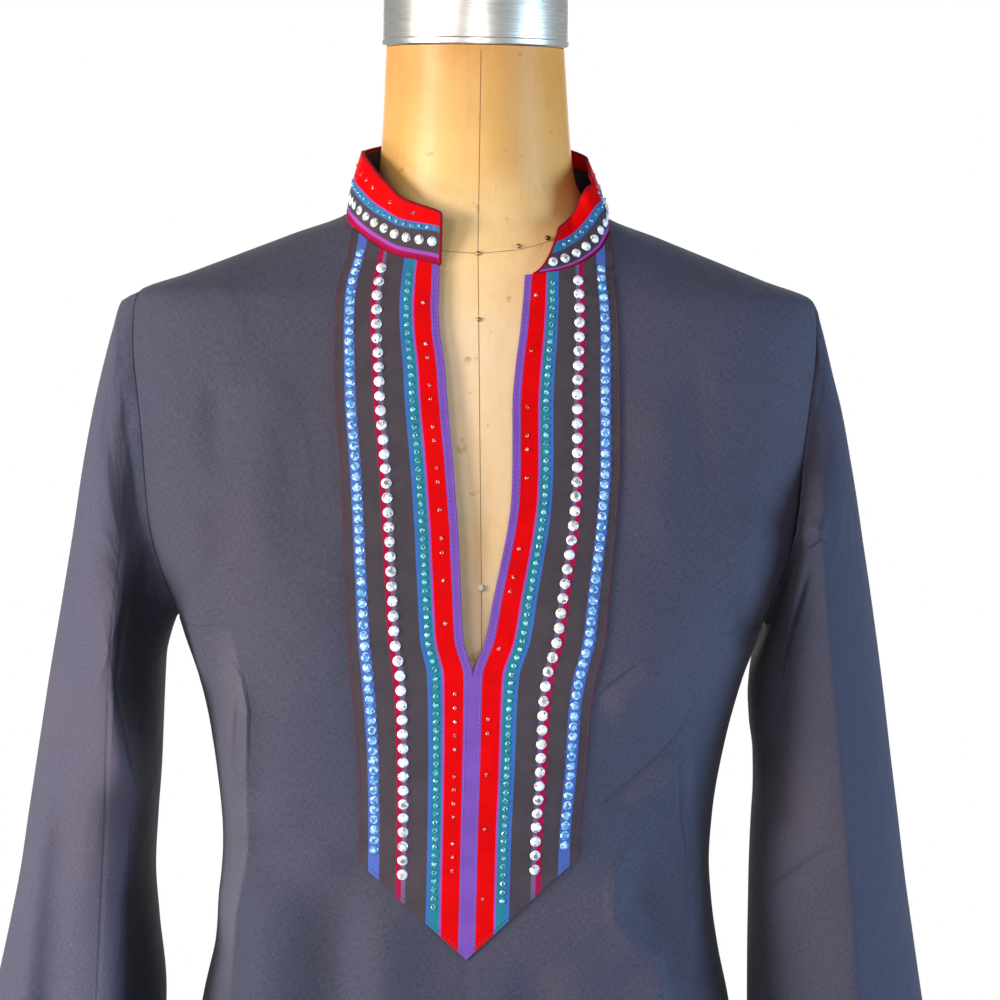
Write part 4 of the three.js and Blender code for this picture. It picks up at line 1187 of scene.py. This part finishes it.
def new_tree(name, inputs):
    """A geometry tree with its named inputs, after the geometry itself."""
    tree = bpy.data.node_groups.new(name, "GeometryNodeTree")
    tree.interface.new_socket("Geometry", in_out="INPUT", socket_type="NodeSocketGeometry")
    for label, kind in inputs:
        tree.interface.new_socket(label, in_out="INPUT", socket_type="NodeSocket" + kind)
    tree.interface.new_socket("Geometry", in_out="OUTPUT", socket_type="NodeSocketGeometry")
    return tree, add_node(tree, "NodeGroupInput").outputs


def run_tree(piece, tree, values):
    """Gives a piece the tree with these inputs, and keeps the result as a plain mesh."""
    modifier = piece.modifiers.new(tree.name, "NODES")
    modifier.node_group = tree
    for item in tree.interface.items_tree:
        if item.in_out == "INPUT" and item.name in values:
            modifier[item.identifier] = values[item.name]
    flatten(piece)


def even_points(tree, given):
    """The given rows as points one pitch apart, and the way their surface faces."""
    curve = node_output(tree, "GeometryNodeMeshToCurve", {"Mesh": given["Geometry"]})
    inputs = {"Curve": curve, "Length": given["Pitch"]}
    even = node_output(tree, "GeometryNodeResampleCurve", inputs, mode="LENGTH")
    kind = "GeometryNodeInputNamedAttribute"
    return even, node_output(tree, kind, {"Name": "facing"}, data_type="FLOAT_VECTOR")


def align(tree, axis, vector, rotation=None, pivot="AUTO"):
    """A rotation that turns an axis along a vector, from another rotation if one is given."""
    inputs = {"Vector": vector}
    if rotation is not None:
        inputs["Rotation"] = rotation
    kind = "FunctionNodeAlignRotationToVector"
    return node_output(tree, kind, inputs, axis=axis, pivot_axis=pivot)


def random_between(tree, given, low, high, **inputs):
    inputs = {2: low, 3: high, "Seed": given["Seed"], **inputs}
    return node_output(tree, "FunctionNodeRandomValue", inputs, 1, data_type="FLOAT")


def set_things(tree, points, thing, upright, angles, size, chosen=True):
    """One mesh of a thing set on each chosen point, upright and then turned by angles."""
    local = node_output(tree, "FunctionNodeEulerToRotation", {0: combine(tree, angles)})
    inputs = {"Rotation": upright, "Rotate By": local}
    kind = "FunctionNodeRotateRotation"
    turned = node_output(tree, kind, inputs, rotation_space="LOCAL")
    inputs = {
        "Points": points,
        "Selection": chosen,
        "Instance": thing,
        "Rotation": turned,
        "Scale": size,
    }
    placed = node_output(tree, "GeometryNodeInstanceOnPoints", inputs)
    return node_output(tree, "GeometryNodeRealizeInstances", {"Geometry": placed})


def end_tree(tree, geometry, material):
    """Gives the geometry its material and makes it what the tree returns."""
    inputs = {"Geometry": geometry, "Material": material}
    made = node_output(tree, "GeometryNodeSetMaterial", inputs)
    add_node(tree, "NodeGroupOutput", {0: made})
    return tree


STITCH_TURN = 0.09
# A stitch is a small bead, 1 across, that is stretched to its length and width.
STITCH_SHAPE = {"Segments": 6, "Rings": 4, "Radius": 0.5}
CORD_SIDES = 6


def stitch_tree():
    tree, given = new_tree(
        "stitch_rows",
        [("Pitch", "Float"), ("Length", "Float"), ("Width", "Float"), ("Seed", "Int"),
         ("Thread", "Material")],
    )
    points, facing = even_points(tree, given)
    tangent = node_output(tree, "GeometryNodeInputTangent")
    upright = align(tree, "Z", facing, align(tree, "X", tangent), "X")
    turn = random_between(tree, given, -STITCH_TURN, STITCH_TURN)
    size = combine(tree, {"X": given["Length"], "Y": given["Width"], "Z": given["Width"]})
    bead = node_output(tree, "GeometryNodeMeshUVSphere", STITCH_SHAPE, "Mesh")
    stitches = set_things(tree, points, bead, upright, {"Z": turn}, size)
    return end_tree(tree, stitches, given["Thread"])


def cord_tree():
    tree, given = new_tree("cord_rows", [("Width", "Float"), ("Thread", "Material")])
    curve = node_output(tree, "GeometryNodeMeshToCurve", {"Mesh": given["Geometry"]})
    radius = add_maths(tree, "MULTIPLY", given["Width"], 0.5)
    inputs = {"Resolution": CORD_SIDES, "Radius": radius}
    ring = node_output(tree, "GeometryNodeCurvePrimitiveCircle", inputs)
    inputs = {"Curve": curve, "Profile Curve": ring, "Fill Caps": True}
    tube = node_output(tree, "GeometryNodeCurveToMesh", inputs)
    return end_tree(tree, tube, given["Thread"])


def make_thread(name, colour):
    """Matt spun thread, with the twist of its plies."""
    material, tree = new_material(name)
    plies = add_noise(tree, object_place(tree), 2500.0)
    tone = colour_ramp(tree, plies, [(0.3, darker(colour, 0.7)), (0.7, colour)])
    finish_shader(tree, {"Base Color": tone, "Roughness": 0.8, "Specular IOR Level": 0.15})
    return material


def placket_row(name, band, first_drop, last_drop, lift=0.25):
    """A line down a half of the placket, band mm out from the slit."""
    drop = np.linspace(first_drop, last_drop, 240)
    slit = placket_edges(name + "_slit", drop)
    edge = placket_edges(name + "_edge", drop)
    x = slit + (edge - slit) * band / BAND_WIDTH
    return front_surface(x, drop, PLACKET_LIFT + PLACKET_WALL + lift)


def placket_point_row(name, inset, lift=0.1):
    """A line along the slanting edge at the foot of the placket, inset mm above it."""
    share = np.linspace(0.98, 0.03, 60)
    corner = CORNER_DROP[name]
    drop = corner + (1 - share) * (POINT_DROP - corner)
    slit = placket_edges(name + "_slit", drop)
    edge = placket_edges(name + "_edge", drop)
    x = slit + (edge - slit) * share
    return front_surface(x, drop - inset, PLACKET_LIFT + PLACKET_WALL + lift)


def collar_row(lower, upper, blend, first=0.0, last=1.0, lift=0.2):
    """A line round the collar between two changes of stripe, blend being its share of the way."""
    share = np.linspace(0, 1, COLLAR_COLUMNS + 1)
    low = collar_bands(lower, share) if lower else np.zeros_like(share)
    high = collar_bands(upper, share) if upper else np.ones_like(share)
    up = low + (high - low) * np.interp(share, *blend)
    fine = np.linspace(0, 1, 61)
    surface = collar_points(fine)
    facing = grid_normals(surface[::-1, ::-1])[::-1, ::-1]
    line, normals = (
        np.stack([
            [np.interp(up[i], fine, field[:, i, k]) for k in range(3)] for i in range(share.size)
        ])
        for field in (surface, facing)
    )
    keep = slice(int(first * COLLAR_COLUMNS), int(last * COLLAR_COLUMNS) + 1)
    return line[keep] + normals[keep] * lift, normals[keep]


def collar_end(column, inset):
    """A line down an end of the collar, inset columns in from its edge."""
    surface = collar_points(np.linspace(0.02, 1, 30))
    facing = grid_normals(surface[::-1, ::-1])[::-1, ::-1]
    at = inset if column == 0 else -1 - inset
    return surface[:, at], facing[:, at]


def grid_row(grid, up, lift=0.1):
    """A line along a grid, up mm above its last row."""
    points = grid["points"]
    normals = grid_normals(points)
    if grid.get("closed"):
        points, normals = (np.concatenate([v, v[:, :1]], axis=1) for v in (points, normals))
    height = points[:, 0, 2] - points[-1, 0, 2]
    row = np.argmin(np.abs(height - up))
    return points[row] + normals[row] * lift, normals[row]


stitch_rows = stitch_tree()
cord_rows = cord_tree()
MIDWAY = ([0, 1], [0.5, 0.5])
EDGE_INSET = 1.1
HEM_DEPTH = 14
cuff_rows = [grid_row(sleeve_grid(name), HEM_DEPTH) for name in SIDES]
hem_rows = [grid_row(grid, HEM_DEPTH) for grid in [*front_grids(), back_grid()]]
STITCHES = [
    {
        "name": "stitching_placket",
        "colour": srgb(118, 84, 98),
        "rows": [
            *(placket_row(name, BAND_WIDTH - EDGE_INSET, 14, CORNER_DROP[name] - 2, 0.1)
              for name in SIDES),
            *(placket_point_row(name, 2 * EDGE_INSET) for name in SIDES),
        ],
    },
    {
        "name": "stitching_violet",
        "colour": srgb(168, 130, 214),
        "rows": [
            *(placket_row(name, 4.0, 37, 414, 0.1) for name in SIDES),
            *(placket_row(name, 0.9, 37, SLIT_DROP - 2, 0.1) for name in SIDES),
        ],
    },
    {
        "name": "stitching_collar",
        "colour": srgb(120, 24, 56),
        "rows": [
            collar_row("lining", None, ([0, 1], [0.0, 0.0]), 0.01, 0.6, 0.1),
            collar_row(None, "crimson", MIDWAY, 0.01, 0.99, 0.1),
        ],
    },
    {"name": "stitching_cuffs", "colour": srgb(52, 50, 64), "rows": cuff_rows},
    {"name": "stitching_hem", "colour": srgb(52, 50, 64), "rows": hem_rows},
]
for seed, kind in enumerate(STITCHES):
    stitches = row_object(kind["name"], kind["rows"])
    values = {
        "Pitch": 2.6 * MM,
        "Length": 2.0 * MM,
        "Width": 0.42 * MM,
        "Seed": seed + 11,
        "Thread": make_thread(kind["name"] + "_thread", kind["colour"]),
    }
    run_tree(stitches, stitch_rows, values)
    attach(stitches, "root")

rim = collar_row(None, None, ([0, 1], [1, 1]), lift=-0.5 * COLLAR_WALL)
ends = [collar_end(column, 0) for column in (0, 1)]
piping = row_object(
    "collar_piping",
    [rim, *((line - normals * 0.5 * COLLAR_WALL, normals) for line, normals in ends)],
)
values = {"Width": 2.0 * MM, "Thread": make_thread("piping_thread", srgb(150, 14, 34))}
run_tree(piping, cord_rows, values)
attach(piping, "root")

# ---- Crystals ----------------------------------------------------------------------------------
# Flat-backed cut glass, set one by one in rows along the stripes: clear, blue, sea green, and
# some small red ones strewn on the scarlet.
GEM_SIDES = 10
# The lower and the upper tier: radius below, radius above and depth, as shares of the diameter.
GEM_TIERS = ((0.5, 0.40, 0.11), (0.40, 0.22, 0.13))
GEM_TURN = 3.1
GEM_TILT = 0.10


def gem_tree():
    tree, given = new_tree(
        "gem_rows",
        [("Pitch", "Float"), ("Diameter", "Float"), ("Keep", "Float"), ("Seed", "Int"),
         ("Glass", "Material")],
    )
    points, facing = even_points(tree, given)
    turn = random_between(tree, given, -GEM_TURN, GEM_TURN)
    index = node_output(tree, "GeometryNodeInputIndex")
    tilt = random_between(tree, given, -GEM_TILT, GEM_TILT, ID=index)
    crown, table = (
        node_output(
            tree,
            "GeometryNodeMeshCone",
            {"Vertices": GEM_SIDES, "Radius Bottom": low, "Radius Top": top, "Depth": depth},
            "Mesh",
        )
        for low, top, depth in GEM_TIERS
    )
    raise_by = {"Translation": (0, 0, GEM_TIERS[0][2]), "Rotation": (0, 0, math.pi / GEM_SIDES)}
    raised = node_output(tree, "GeometryNodeTransform", {"Geometry": table, **raise_by})
    gem = add_node(tree, "GeometryNodeJoinGeometry")
    for tier in (raised, crown):
        tree.links.new(tier, gem.inputs[0])
    inputs = {"Probability": given["Keep"], "Seed": given["Seed"]}
    kept = node_output(tree, "FunctionNodeRandomValue", inputs, 3, data_type="BOOLEAN")
    upright = align(tree, "Z", facing)
    angles = {"X": tilt, "Y": tilt, "Z": turn}
    gems = set_things(tree, points, gem.outputs[0], upright, angles, given["Diameter"], kept)
    # A random tone for each facet, which the glass turns into its painted reflection.
    tone = random_between(tree, given, 0.0, 1.0)
    inputs = {"Geometry": gems, "Name": "facet", "Value": tone}
    kind = "GeometryNodeStoreNamedAttribute"
    marked = node_output(tree, kind, inputs, data_type="FLOAT", domain="FACE")
    return end_tree(tree, marked, given["Glass"])


def make_glass(name, stops):
    """Foil-backed glass whose facets each take a random tone: painted reflections and glints."""
    material, tree = new_material(name)
    finish_shader(
        tree,
        {
            "Base Color": colour_ramp(tree, attribute(tree, "facet"), stops),
            "Roughness": 0.12,
            "Specular IOR Level": 0.8,
            "Coat Weight": 0.5,
            "Coat Roughness": 0.03,
        },
    )
    return material


gem_rows = gem_tree()
# Facet tones: painted reflection on clear glass; on coloured glass, paler tones are painted glints.
CLEAR_TONES_AND_GLINTS = [(0.0, srgb(120, 118, 122)), (0.3, srgb(225, 225, 228)), (0.6, grey(1))]
BLUE_TONES_AND_GLINTS = [(0.0, srgb(44, 116, 186)), (0.45, srgb(84, 172, 228)), (0.9, srgb(206, 236, 250))]
CRYSTALS = [
    {
        "name": "crystals_clear",
        "diameter": 6.2,
        "pitch": 8.3,
        "rows": [placket_row("left", 38.1, 31, 372), placket_row("right", 38.1, 36.5, 368)],
        "tones_and_glints": CLEAR_TONES_AND_GLINTS,
    },
    {
        "name": "crystals_clear_collar",
        "diameter": 5.6,
        "pitch": 7.5,
        "rows": [
            collar_row("lilac", "ground", ([0, 0.6, 0.85, 1], [0.5, 0.5, 0.4, 0.4]), 0.012, 0.985)
        ],
        "tones_and_glints": CLEAR_TONES_AND_GLINTS,
    },
    {
        "name": "crystals_blue",
        "diameter": 5.4,
        "pitch": 6.0,
        "rows": [placket_row("left", 54.7, 23, 358), placket_row("right", 54.7, 30, 354)],
        "tones_and_glints": BLUE_TONES_AND_GLINTS,
    },
    {
        "name": "crystals_sea_green",
        "diameter": 3.3,
        "pitch": 4.9,
        "rows": [placket_row("left", 19.8, 34, 390), placket_row("right", 19.8, 38, 386)],
        "tones_and_glints": [(0.0, srgb(10, 80, 100)), (0.5, srgb(40, 150, 165)), (0.95, srgb(150, 225, 230))],
    },
    {
        "name": "crystals_sea_green_collar",
        "diameter": 2.6,
        "pitch": 4.6,
        "rows": [collar_row("ground", "teal", MIDWAY, 0.01, 0.97)],
        "tones_and_glints": [(0.0, srgb(10, 60, 110)), (0.5, srgb(40, 120, 180)), (0.95, srgb(150, 215, 240))],
    },
    {
        "name": "crystals_red",
        "diameter": 2.2,
        "pitch": 8.0,
        "keep": 0.42,
        "rows": [
            placket_row("left", 9.5, 50, 385),
            placket_row("right", 8.6, 45, 385),
            collar_row("teal", None, ([0, 1], [0.45, 0.45]), 0.02, 0.96),
        ],
        "tones_and_glints": [(0.0, srgb(150, 10, 16)), (0.7, srgb(225, 30, 30)), (0.85, srgb(255, 210, 205))],
    },
]
for seed, kind in enumerate(CRYSTALS):
    gems = row_object(kind["name"], kind["rows"])
    values = {
        "Pitch": kind["pitch"] * MM,
        "Diameter": kind["diameter"] * MM,
        "Keep": kind.get("keep", 1.0),
        "Seed": seed + 1,
        "Glass": make_glass(kind["name"] + "_glass", kind["tones_and_glints"]),
    }
    run_tree(gems, gem_rows, values)
    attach(gems, "root")

# ---- Dress form --------------------------------------------------------------------------------
# A limbless torso and neck of papier-mache under canvas, shellacked to amber, in halves that
# meet in a sewn seam down the front and round the base of the neck.
FORM_TOP_DROP = -97
FORM_BOTTOM_DROP = 740
FORM_AROUND = 144
# The canvas runs about this many mm round the form for each degree.
FORM_DEGREE = 1.7
form_rings = smooth_table(
    ["drop", "middle", "half_width", "front", "back", "power"],
    [
        [FORM_TOP_DROP, -2, 52, 56, 50, 2],
        [-38, -0.8, 55.5, 56.5, 53, 2],
        [-20, -0.3, 58, 56, 55, 2],
        [-12, 0, 62, 55, 54, 2],
        [0, 0, 71.2, 56, 56, 1.95],
        [12, 0, 102, 59.5, 63, 1.9],
        [24, 0, 132.6, 64, 70, 1.9],
        [36, 0, 163.3, 67.5, 76, 1.95],
        [47.5, 0, 190, 71, 81, 2.05],
        [60, 0, 194, 74.5, 86, 2.15],
        [80, 0, 193, 80, 92, 2.2],
        [120, 0, 187, 90, 99, 2.25],
        [175, 0, 180, 104, 102, 2.25],
        [216, 0, 168, 114, 100, 2.3],
        [248, 0, 158, 118, 97, 2.35],
        [305, 0, 141, 110, 90, 2.25],
        [376, 0, 130, 98, 80, 2.15],
        [430, 0, 138, 102, 88, 2.15],
        [500, 0, 152, 110, 106, 2.15],
        [570, 0, 163, 116, 118, 2.15],
        [640, 0, 166, 117, 118, 2.15],
        [720, 0, 163, 114, 115, 2.15],
        [FORM_BOTTOM_DROP, 0, 156, 108, 109, 2.15],
    ],
)


def form_surface(degrees, drop):
    """Points of the form at angles from the viewer's right, 270 being its front."""
    angle = np.radians(degrees)
    power = 2 / form_rings("power", drop)
    across = np.sign(np.cos(angle)) * np.abs(np.cos(angle)) ** power
    deep = np.sign(np.sin(angle)) * np.abs(np.sin(angle)) ** power
    depth = np.where(deep < 0, form_rings("front", drop), form_rings("back", drop))
    x = form_rings("middle", drop) + form_rings("half_width", drop) * across
    return np.stack(np.broadcast_arrays(x, depth * deep, NECK_POINT_Z - drop), axis=-1)


def form_grid():
    neck = np.linspace(FORM_TOP_DROP, -24, 30)
    shoulders = np.linspace(-22, 60, 42)
    body = np.linspace(64, FORM_BOTTOM_DROP, 130)
    drops = np.concatenate([neck, shoulders, body])[:, None]
    degrees = np.arange(FORM_AROUND)[None, :] * (360 / FORM_AROUND)
    points = form_surface(degrees, drops)
    cut = np.stack(np.broadcast_arrays(degrees * FORM_DEGREE * MM, -drops * MM), axis=-1)
    return {"points": points, "cut": cut + CUT_SHIFTS["form"], "closed": True}


# Where the shellac begins to darken, and where it is darkest, in metres: up, and to the right.
AMBER_HEIGHTS = (1.33, 1.50)
REDDER_PLACES = (-0.005, 0.055)


def make_canvas():
    """Canvas under old shellac: paler low down, amber at the neck and redder to its right, with
    brush marks and small brown stains."""
    material, tree = new_material("shellacked_canvas")
    place = object_place(tree)
    axes = split(tree, place)
    height = add_range(tree, axes["Z"], *AMBER_HEIGHTS)
    to_right = add_range(tree, axes["X"], *REDDER_PLACES)
    cloud = add_maths(tree, "MULTIPLY_ADD", add_noise(tree, place, 16.0, 5.0), 0.9, -0.45)
    brush = add_noise(tree, stretch(tree, place, (1.0, 1.0, 0.12)), 260.0, 4.0)
    stain = colour_ramp(
        tree,
        add_noise(tree, place, 95.0, 4.0),
        [(0.66, grey(1)), (0.72, (0.72, 0.55, 0.38, 1)), (0.8, (0.5, 0.33, 0.2, 1))],
    )
    brushed = colour_ramp(tree, brush, [(0.3, (0.86, 0.82, 0.76, 1)), (0.55, grey(1))])
    colour = colour_ramp(
        tree,
        add_maths(tree, "ADD", height, cloud, clamp=True),
        [
            (0.0, srgb(252, 218, 174)),
            (0.35, srgb(254, 214, 150)),
            (0.65, srgb(234, 180, 104)),
            (1.0, srgb(208, 148, 76)),
        ],
    )
    redder = add_maths(tree, "MULTIPLY", to_right, height)
    colour = mix_colours(tree, redder, colour, srgb(252, 166, 70))
    colour = mix_colours(tree, 0.3, colour, brushed, "MULTIPLY")
    colour = mix_colours(tree, 0.7, colour, stain, "MULTIPLY")
    finish_shader(
        tree,
        {
            "Base Color": colour,
            "Roughness": 0.48,
            "Specular IOR Level": 0.35,
            "Coat Weight": 0.15,
            "Coat Roughness": 0.3,
            "Normal": add_bump(tree, add_noise(tree, place, 900.0, 3.0), 0.3, 0.0004),
        },
    )
    return material


def add_turned(name, profile, centre=(0, 0, 0), sides=128):
    """A turned piece from its profile of radius and height, closed on its axis."""
    turned = bmesh.new()
    angle = 2 * math.pi / sides
    rings = []
    for radius, height in profile:
        if radius == 0:
            rings.append([turned.verts.new((0, 0, height * MM))] * sides)
            continue
        rings.append([
            turned.verts.new((
                radius * MM * math.cos(i * angle), radius * MM * math.sin(i * angle), height * MM
            ))
            for i in range(sides)
        ])
    for lower, upper in zip(rings, rings[1:]):
        for i in range(sides):
            j = (i + 1) % sides
            corners = [lower[i], lower[j], upper[j], upper[i]]
            turned.faces.new(list(dict.fromkeys(corners)))
    bmesh.ops.translate(turned, verts=turned.verts, vec=Vector(centre) * MM)
    bmesh.ops.recalc_face_normals(turned, faces=turned.faces)
    piece = add_object(name, finished_mesh(name, turned))
    piece.data.set_sharp_from_angle(angle=math.radians(35))
    return piece


def finished_mesh(name, made):
    mesh = bpy.data.meshes.new(name)
    made.to_mesh(mesh)
    made.free()
    mesh.shade_smooth()
    return mesh


def make_metal(name, colour, roughness, metallic, scratch):
    """Turned or cast metal, with fine marks that run round it or a cast grain."""
    material, tree = new_material(name)
    marks = add_noise(tree, stretch(tree, object_place(tree), (1.0, 1.0, scratch)), 60.0, 6.0)
    finish_shader(
        tree,
        {
            "Base Color": colour_ramp(tree, marks, [(0.3, darker(colour, 0.78)), (0.7, colour)]),
            "Metallic": metallic,
            "Roughness": roughness,
            "Normal": add_bump(tree, marks, 0.25, 0.0004),
        },
    )
    return material


def add_dome(name, radius, place, way):
    """The round head of a pin, sunk a little, facing away from what it holds."""
    head = bmesh.new()
    bmesh.ops.create_uvsphere(head, u_segments=24, v_segments=12, radius=radius * MM)
    bmesh.ops.scale(head, vec=(1, 1, 0.8), verts=head.verts)
    turn = Vector(way).to_track_quat("Z", "Y").to_matrix()
    bmesh.ops.rotate(head, cent=(0, 0, 0), matrix=turn, verts=head.verts)
    bmesh.ops.translate(head, vec=Vector(place) * MM, verts=head.verts)
    return add_object(name, finished_mesh(name, head))


torso = add_sheet("form_body", [form_grid()])
closed = bmesh.new()
closed.from_mesh(torso.data)
bmesh.ops.holes_fill(closed, edges=closed.edges, sides=0)
bmesh.ops.recalc_face_normals(closed, faces=closed.faces)
closed.to_mesh(torso.data)
closed.free()
torso.data.materials.append(make_canvas())
torso.data.set_sharp_from_angle(angle=CUT_EDGE_ANGLE)
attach(torso, "root")
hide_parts("form_torso")


def form_depth(x, drop):
    """How far the form's front stands from the middle plane at x."""
    across = np.abs(x - form_rings("middle", drop)) / form_rings("half_width", drop)
    power = form_rings("power", drop)
    return form_rings("front", drop) * (1 - across.clip(0, 1) ** power) ** (1 / power)


def form_front(x, drop, lift=0.0):
    """Points of the form's front at x, and the way it faces."""
    x, drop = np.broadcast_arrays(np.asarray(x, float), np.asarray(drop, float))
    return raised_surface(form_depth, x, drop, lift)


# The seam down the middle leans a little to the right, and the one round the neck sags there.
down = np.linspace(-94, 250, 160)
middle_x = np.interp(down, [-94, 20, 210, 250], [1.6, 1.4, 6.3, 7])
across = np.linspace(-46, 48, 80)
neck_drop = np.interp(across, [-46, -17, 1.4, 24, 36, 48], [12, 20.5, 21.6, 19.3, 16.2, 12.2])
seams = row_object("form_seams", [form_front(middle_x, down), form_front(across, neck_drop)])
values = {"Width": 0.34 * MM, "Thread": make_thread("seam_thread", srgb(150, 106, 62))}
run_tree(seams, cord_rows, values)
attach(seams, "root")

PINS = [
    ("steel", 1.5, 21.6, 1.5),
    ("steel_2", 24.4, 17.2, 1.5),
    ("brass", 41, 12.5, 1.6),
    ("steel_3", 2.5, 58.8, 1.4),
    ("pearl", 6.3, 208, 2.0),
]
PIN_RAISED_SHARE = 0.35
PIN_COLOURS = {"steel": (168, 140, 104), "brass": (112, 76, 46), "pearl": (250, 244, 230)}
for name, x, drop, radius in PINS:
    kind = name.split("_")[0]
    point, way = form_front(x, drop, radius * PIN_RAISED_SHARE)
    pin = add_dome("pin_" + name, radius, point, way)
    metallic = 0.0 if kind == "pearl" else 0.8
    metal = make_metal("pin_" + name, srgb(*PIN_COLOURS[kind]), 0.3, metallic, 1.0)
    pin.data.materials.append(metal)
    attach(pin, "root")

# ---- Neck cap, pole and base -------------------------------------------------------------------
# The neck ends in a turned aluminium cap. The torso stands on a tube that is set in the boss of
# a round cast-iron base.
spun_metal = make_metal("spun_aluminium", srgb(222, 220, 214), 0.32, 1.0, 14.0)
cap_low, cap_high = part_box("neck_cap")
cap_middle = [(cap_low[k] + cap_high[k]) / 2 / MM for k in range(2)] + [cap_low[2] / MM]
cap = add_turned(
    "form_neck_cap",
    [
        (0, 0),
        (54.2, 0),
        (55, 0.8),
        (55, 3.6),
        (54.4, 4.4),
        (54.4, 26),
        (54, 29.5),
        (52.4, 32.5),
        (49, 34.6),
        (40, 36.2),
        (20, 37.6),
        (0, 38),
    ],
    centre=cap_middle,
)
cap.data.materials.append(spun_metal)
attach(cap, "root")
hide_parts("neck_cap")

POLE_RADIUS = 16
POLE_EDGE = 0.6
pole_low, pole_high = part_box("pole")
foot, head = pole_low[2] / MM, pole_high[2] / MM
edge = POLE_RADIUS - POLE_EDGE
pole = add_turned(
    "form_pole",
    [
        (0, foot),
        (edge, foot),
        (POLE_RADIUS, foot + POLE_EDGE),
        (POLE_RADIUS, head - POLE_EDGE),
        (edge, head),
        (0, head),
    ],
    sides=64,
)
pole.data.materials.append(spun_metal)
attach(pole, "root")
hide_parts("pole")

base = add_turned(
    "form_base",
    [
        (0, 0),
        (213, 0),
        (215, 2),
        (215, 8),
        (213, 11),
        (206, 13),
        (107, 20.5),
        (52, 23),
        (42, 24.5),
        (37, 27),
        (34, 31),
        (27, 48),
        (25.5, 51.4),
        (24, 52),
        (0, 52),
    ],
)
base.data.materials.append(make_metal("black_iron", srgb(44, 44, 47), 0.5, 0.2, 1.0))
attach(base, "root")
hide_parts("base")

# ---- Studio ------------------------------------------------------------------------------------
# A pale floor, a white surround, soft warm lights from the left and the front, a broad cool one
# from the right and one from behind, and the camera level with the collar, turned a little.
FLOOR_RADIUS = 1500
FLOOR_TOP = -0.5
FLOOR_UNDERSIDE = -4
floor = add_turned(
    "floor",
    [
        (0, FLOOR_UNDERSIDE),
        (FLOOR_RADIUS, FLOOR_UNDERSIDE),
        (FLOOR_RADIUS, FLOOR_TOP),
        (0, FLOOR_TOP),
    ],
)
floor_paint, floor_tree = new_material("floor_paint")
finish_shader(floor_tree, {"Base Color": (0.82, 0.82, 0.81, 1), "Roughness": 0.7})
floor.data.materials.append(floor_paint)

world = bpy.data.worlds.new("surround")
bpy.context.scene.world = world
world.use_nodes = True
sky = world.node_tree
sky.nodes.clear()
path = add_node(sky, "ShaderNodeLightPath").outputs
# The surround is white to look at, greyer in reflections, and gives little light of its own.
strength = 0.11
for ray, extra in (("Is Camera Ray", 0.89), ("Is Glossy Ray", 0.33)):
    strength = add_maths(sky, "MULTIPLY_ADD", path[ray], extra, strength)
inputs = {"Color": grey(1), "Strength": strength}
surround = node_output(sky, "ShaderNodeBackground", inputs)
add_node(sky, "ShaderNodeOutputWorld", {"Surface": surround})

LIGHT_AIM = (0, 0, 1200)
# Each light is its name, its place, its diameter, its power in watts and its colour.
LIGHTS = [
    ("key", (-1480, -860, 1520), 600, 24.5, (1.0, 0.96, 0.9)),
    ("low", (-1600, -780, 600), 700, 15, (1.0, 0.95, 0.93)),
    ("window", (-1300, -1900, 2100), 900, 12, (1.0, 0.93, 0.82)),
    ("front", (200, -3000, 1500), 900, 15, (1.0, 0.98, 1.0)),
    ("fill", (2250, -680, 1050), 1400, 46, (0.52, 0.8, 1.1)),
    ("rear", (0, 2600, 1500), 1800, 26, (1.0, 0.98, 0.95)),
]
for name, place, size, power, colour in LIGHTS:
    light = bpy.data.lights.new(name, "AREA")
    light.shape = "DISK"
    light.size = size * MM
    light.energy = power
    light.color = colour
    lamp = add_object(name, light)
    lamp.location = Vector(place) * MM
    aim = Vector(LIGHT_AIM) * MM - lamp.location
    lamp.rotation_euler = aim.to_track_quat("-Z", "Y").to_euler()

CAMERA_PLACE = (16, -2200, 1410)
CAMERA_AIM = (16, 0, 1232.6)
CAMERA_ROLL = 0.8
camera = add_object("camera", bpy.data.cameras.new("camera"))
camera.location = Vector(CAMERA_PLACE) * MM
look = (Vector(CAMERA_AIM) - Vector(CAMERA_PLACE)).to_track_quat("-Z", "Y").to_matrix()
roll = Matrix.Rotation(math.radians(CAMERA_ROLL), 3, "Z")
camera.rotation_euler = (look @ roll).to_euler()
camera.data.sensor_width = 36
camera.data.lens = 134.7
camera.data.clip_end = 50
bpy.context.scene.camera = camera
bpy.context.scene.view_settings.view_transform = "Standard"
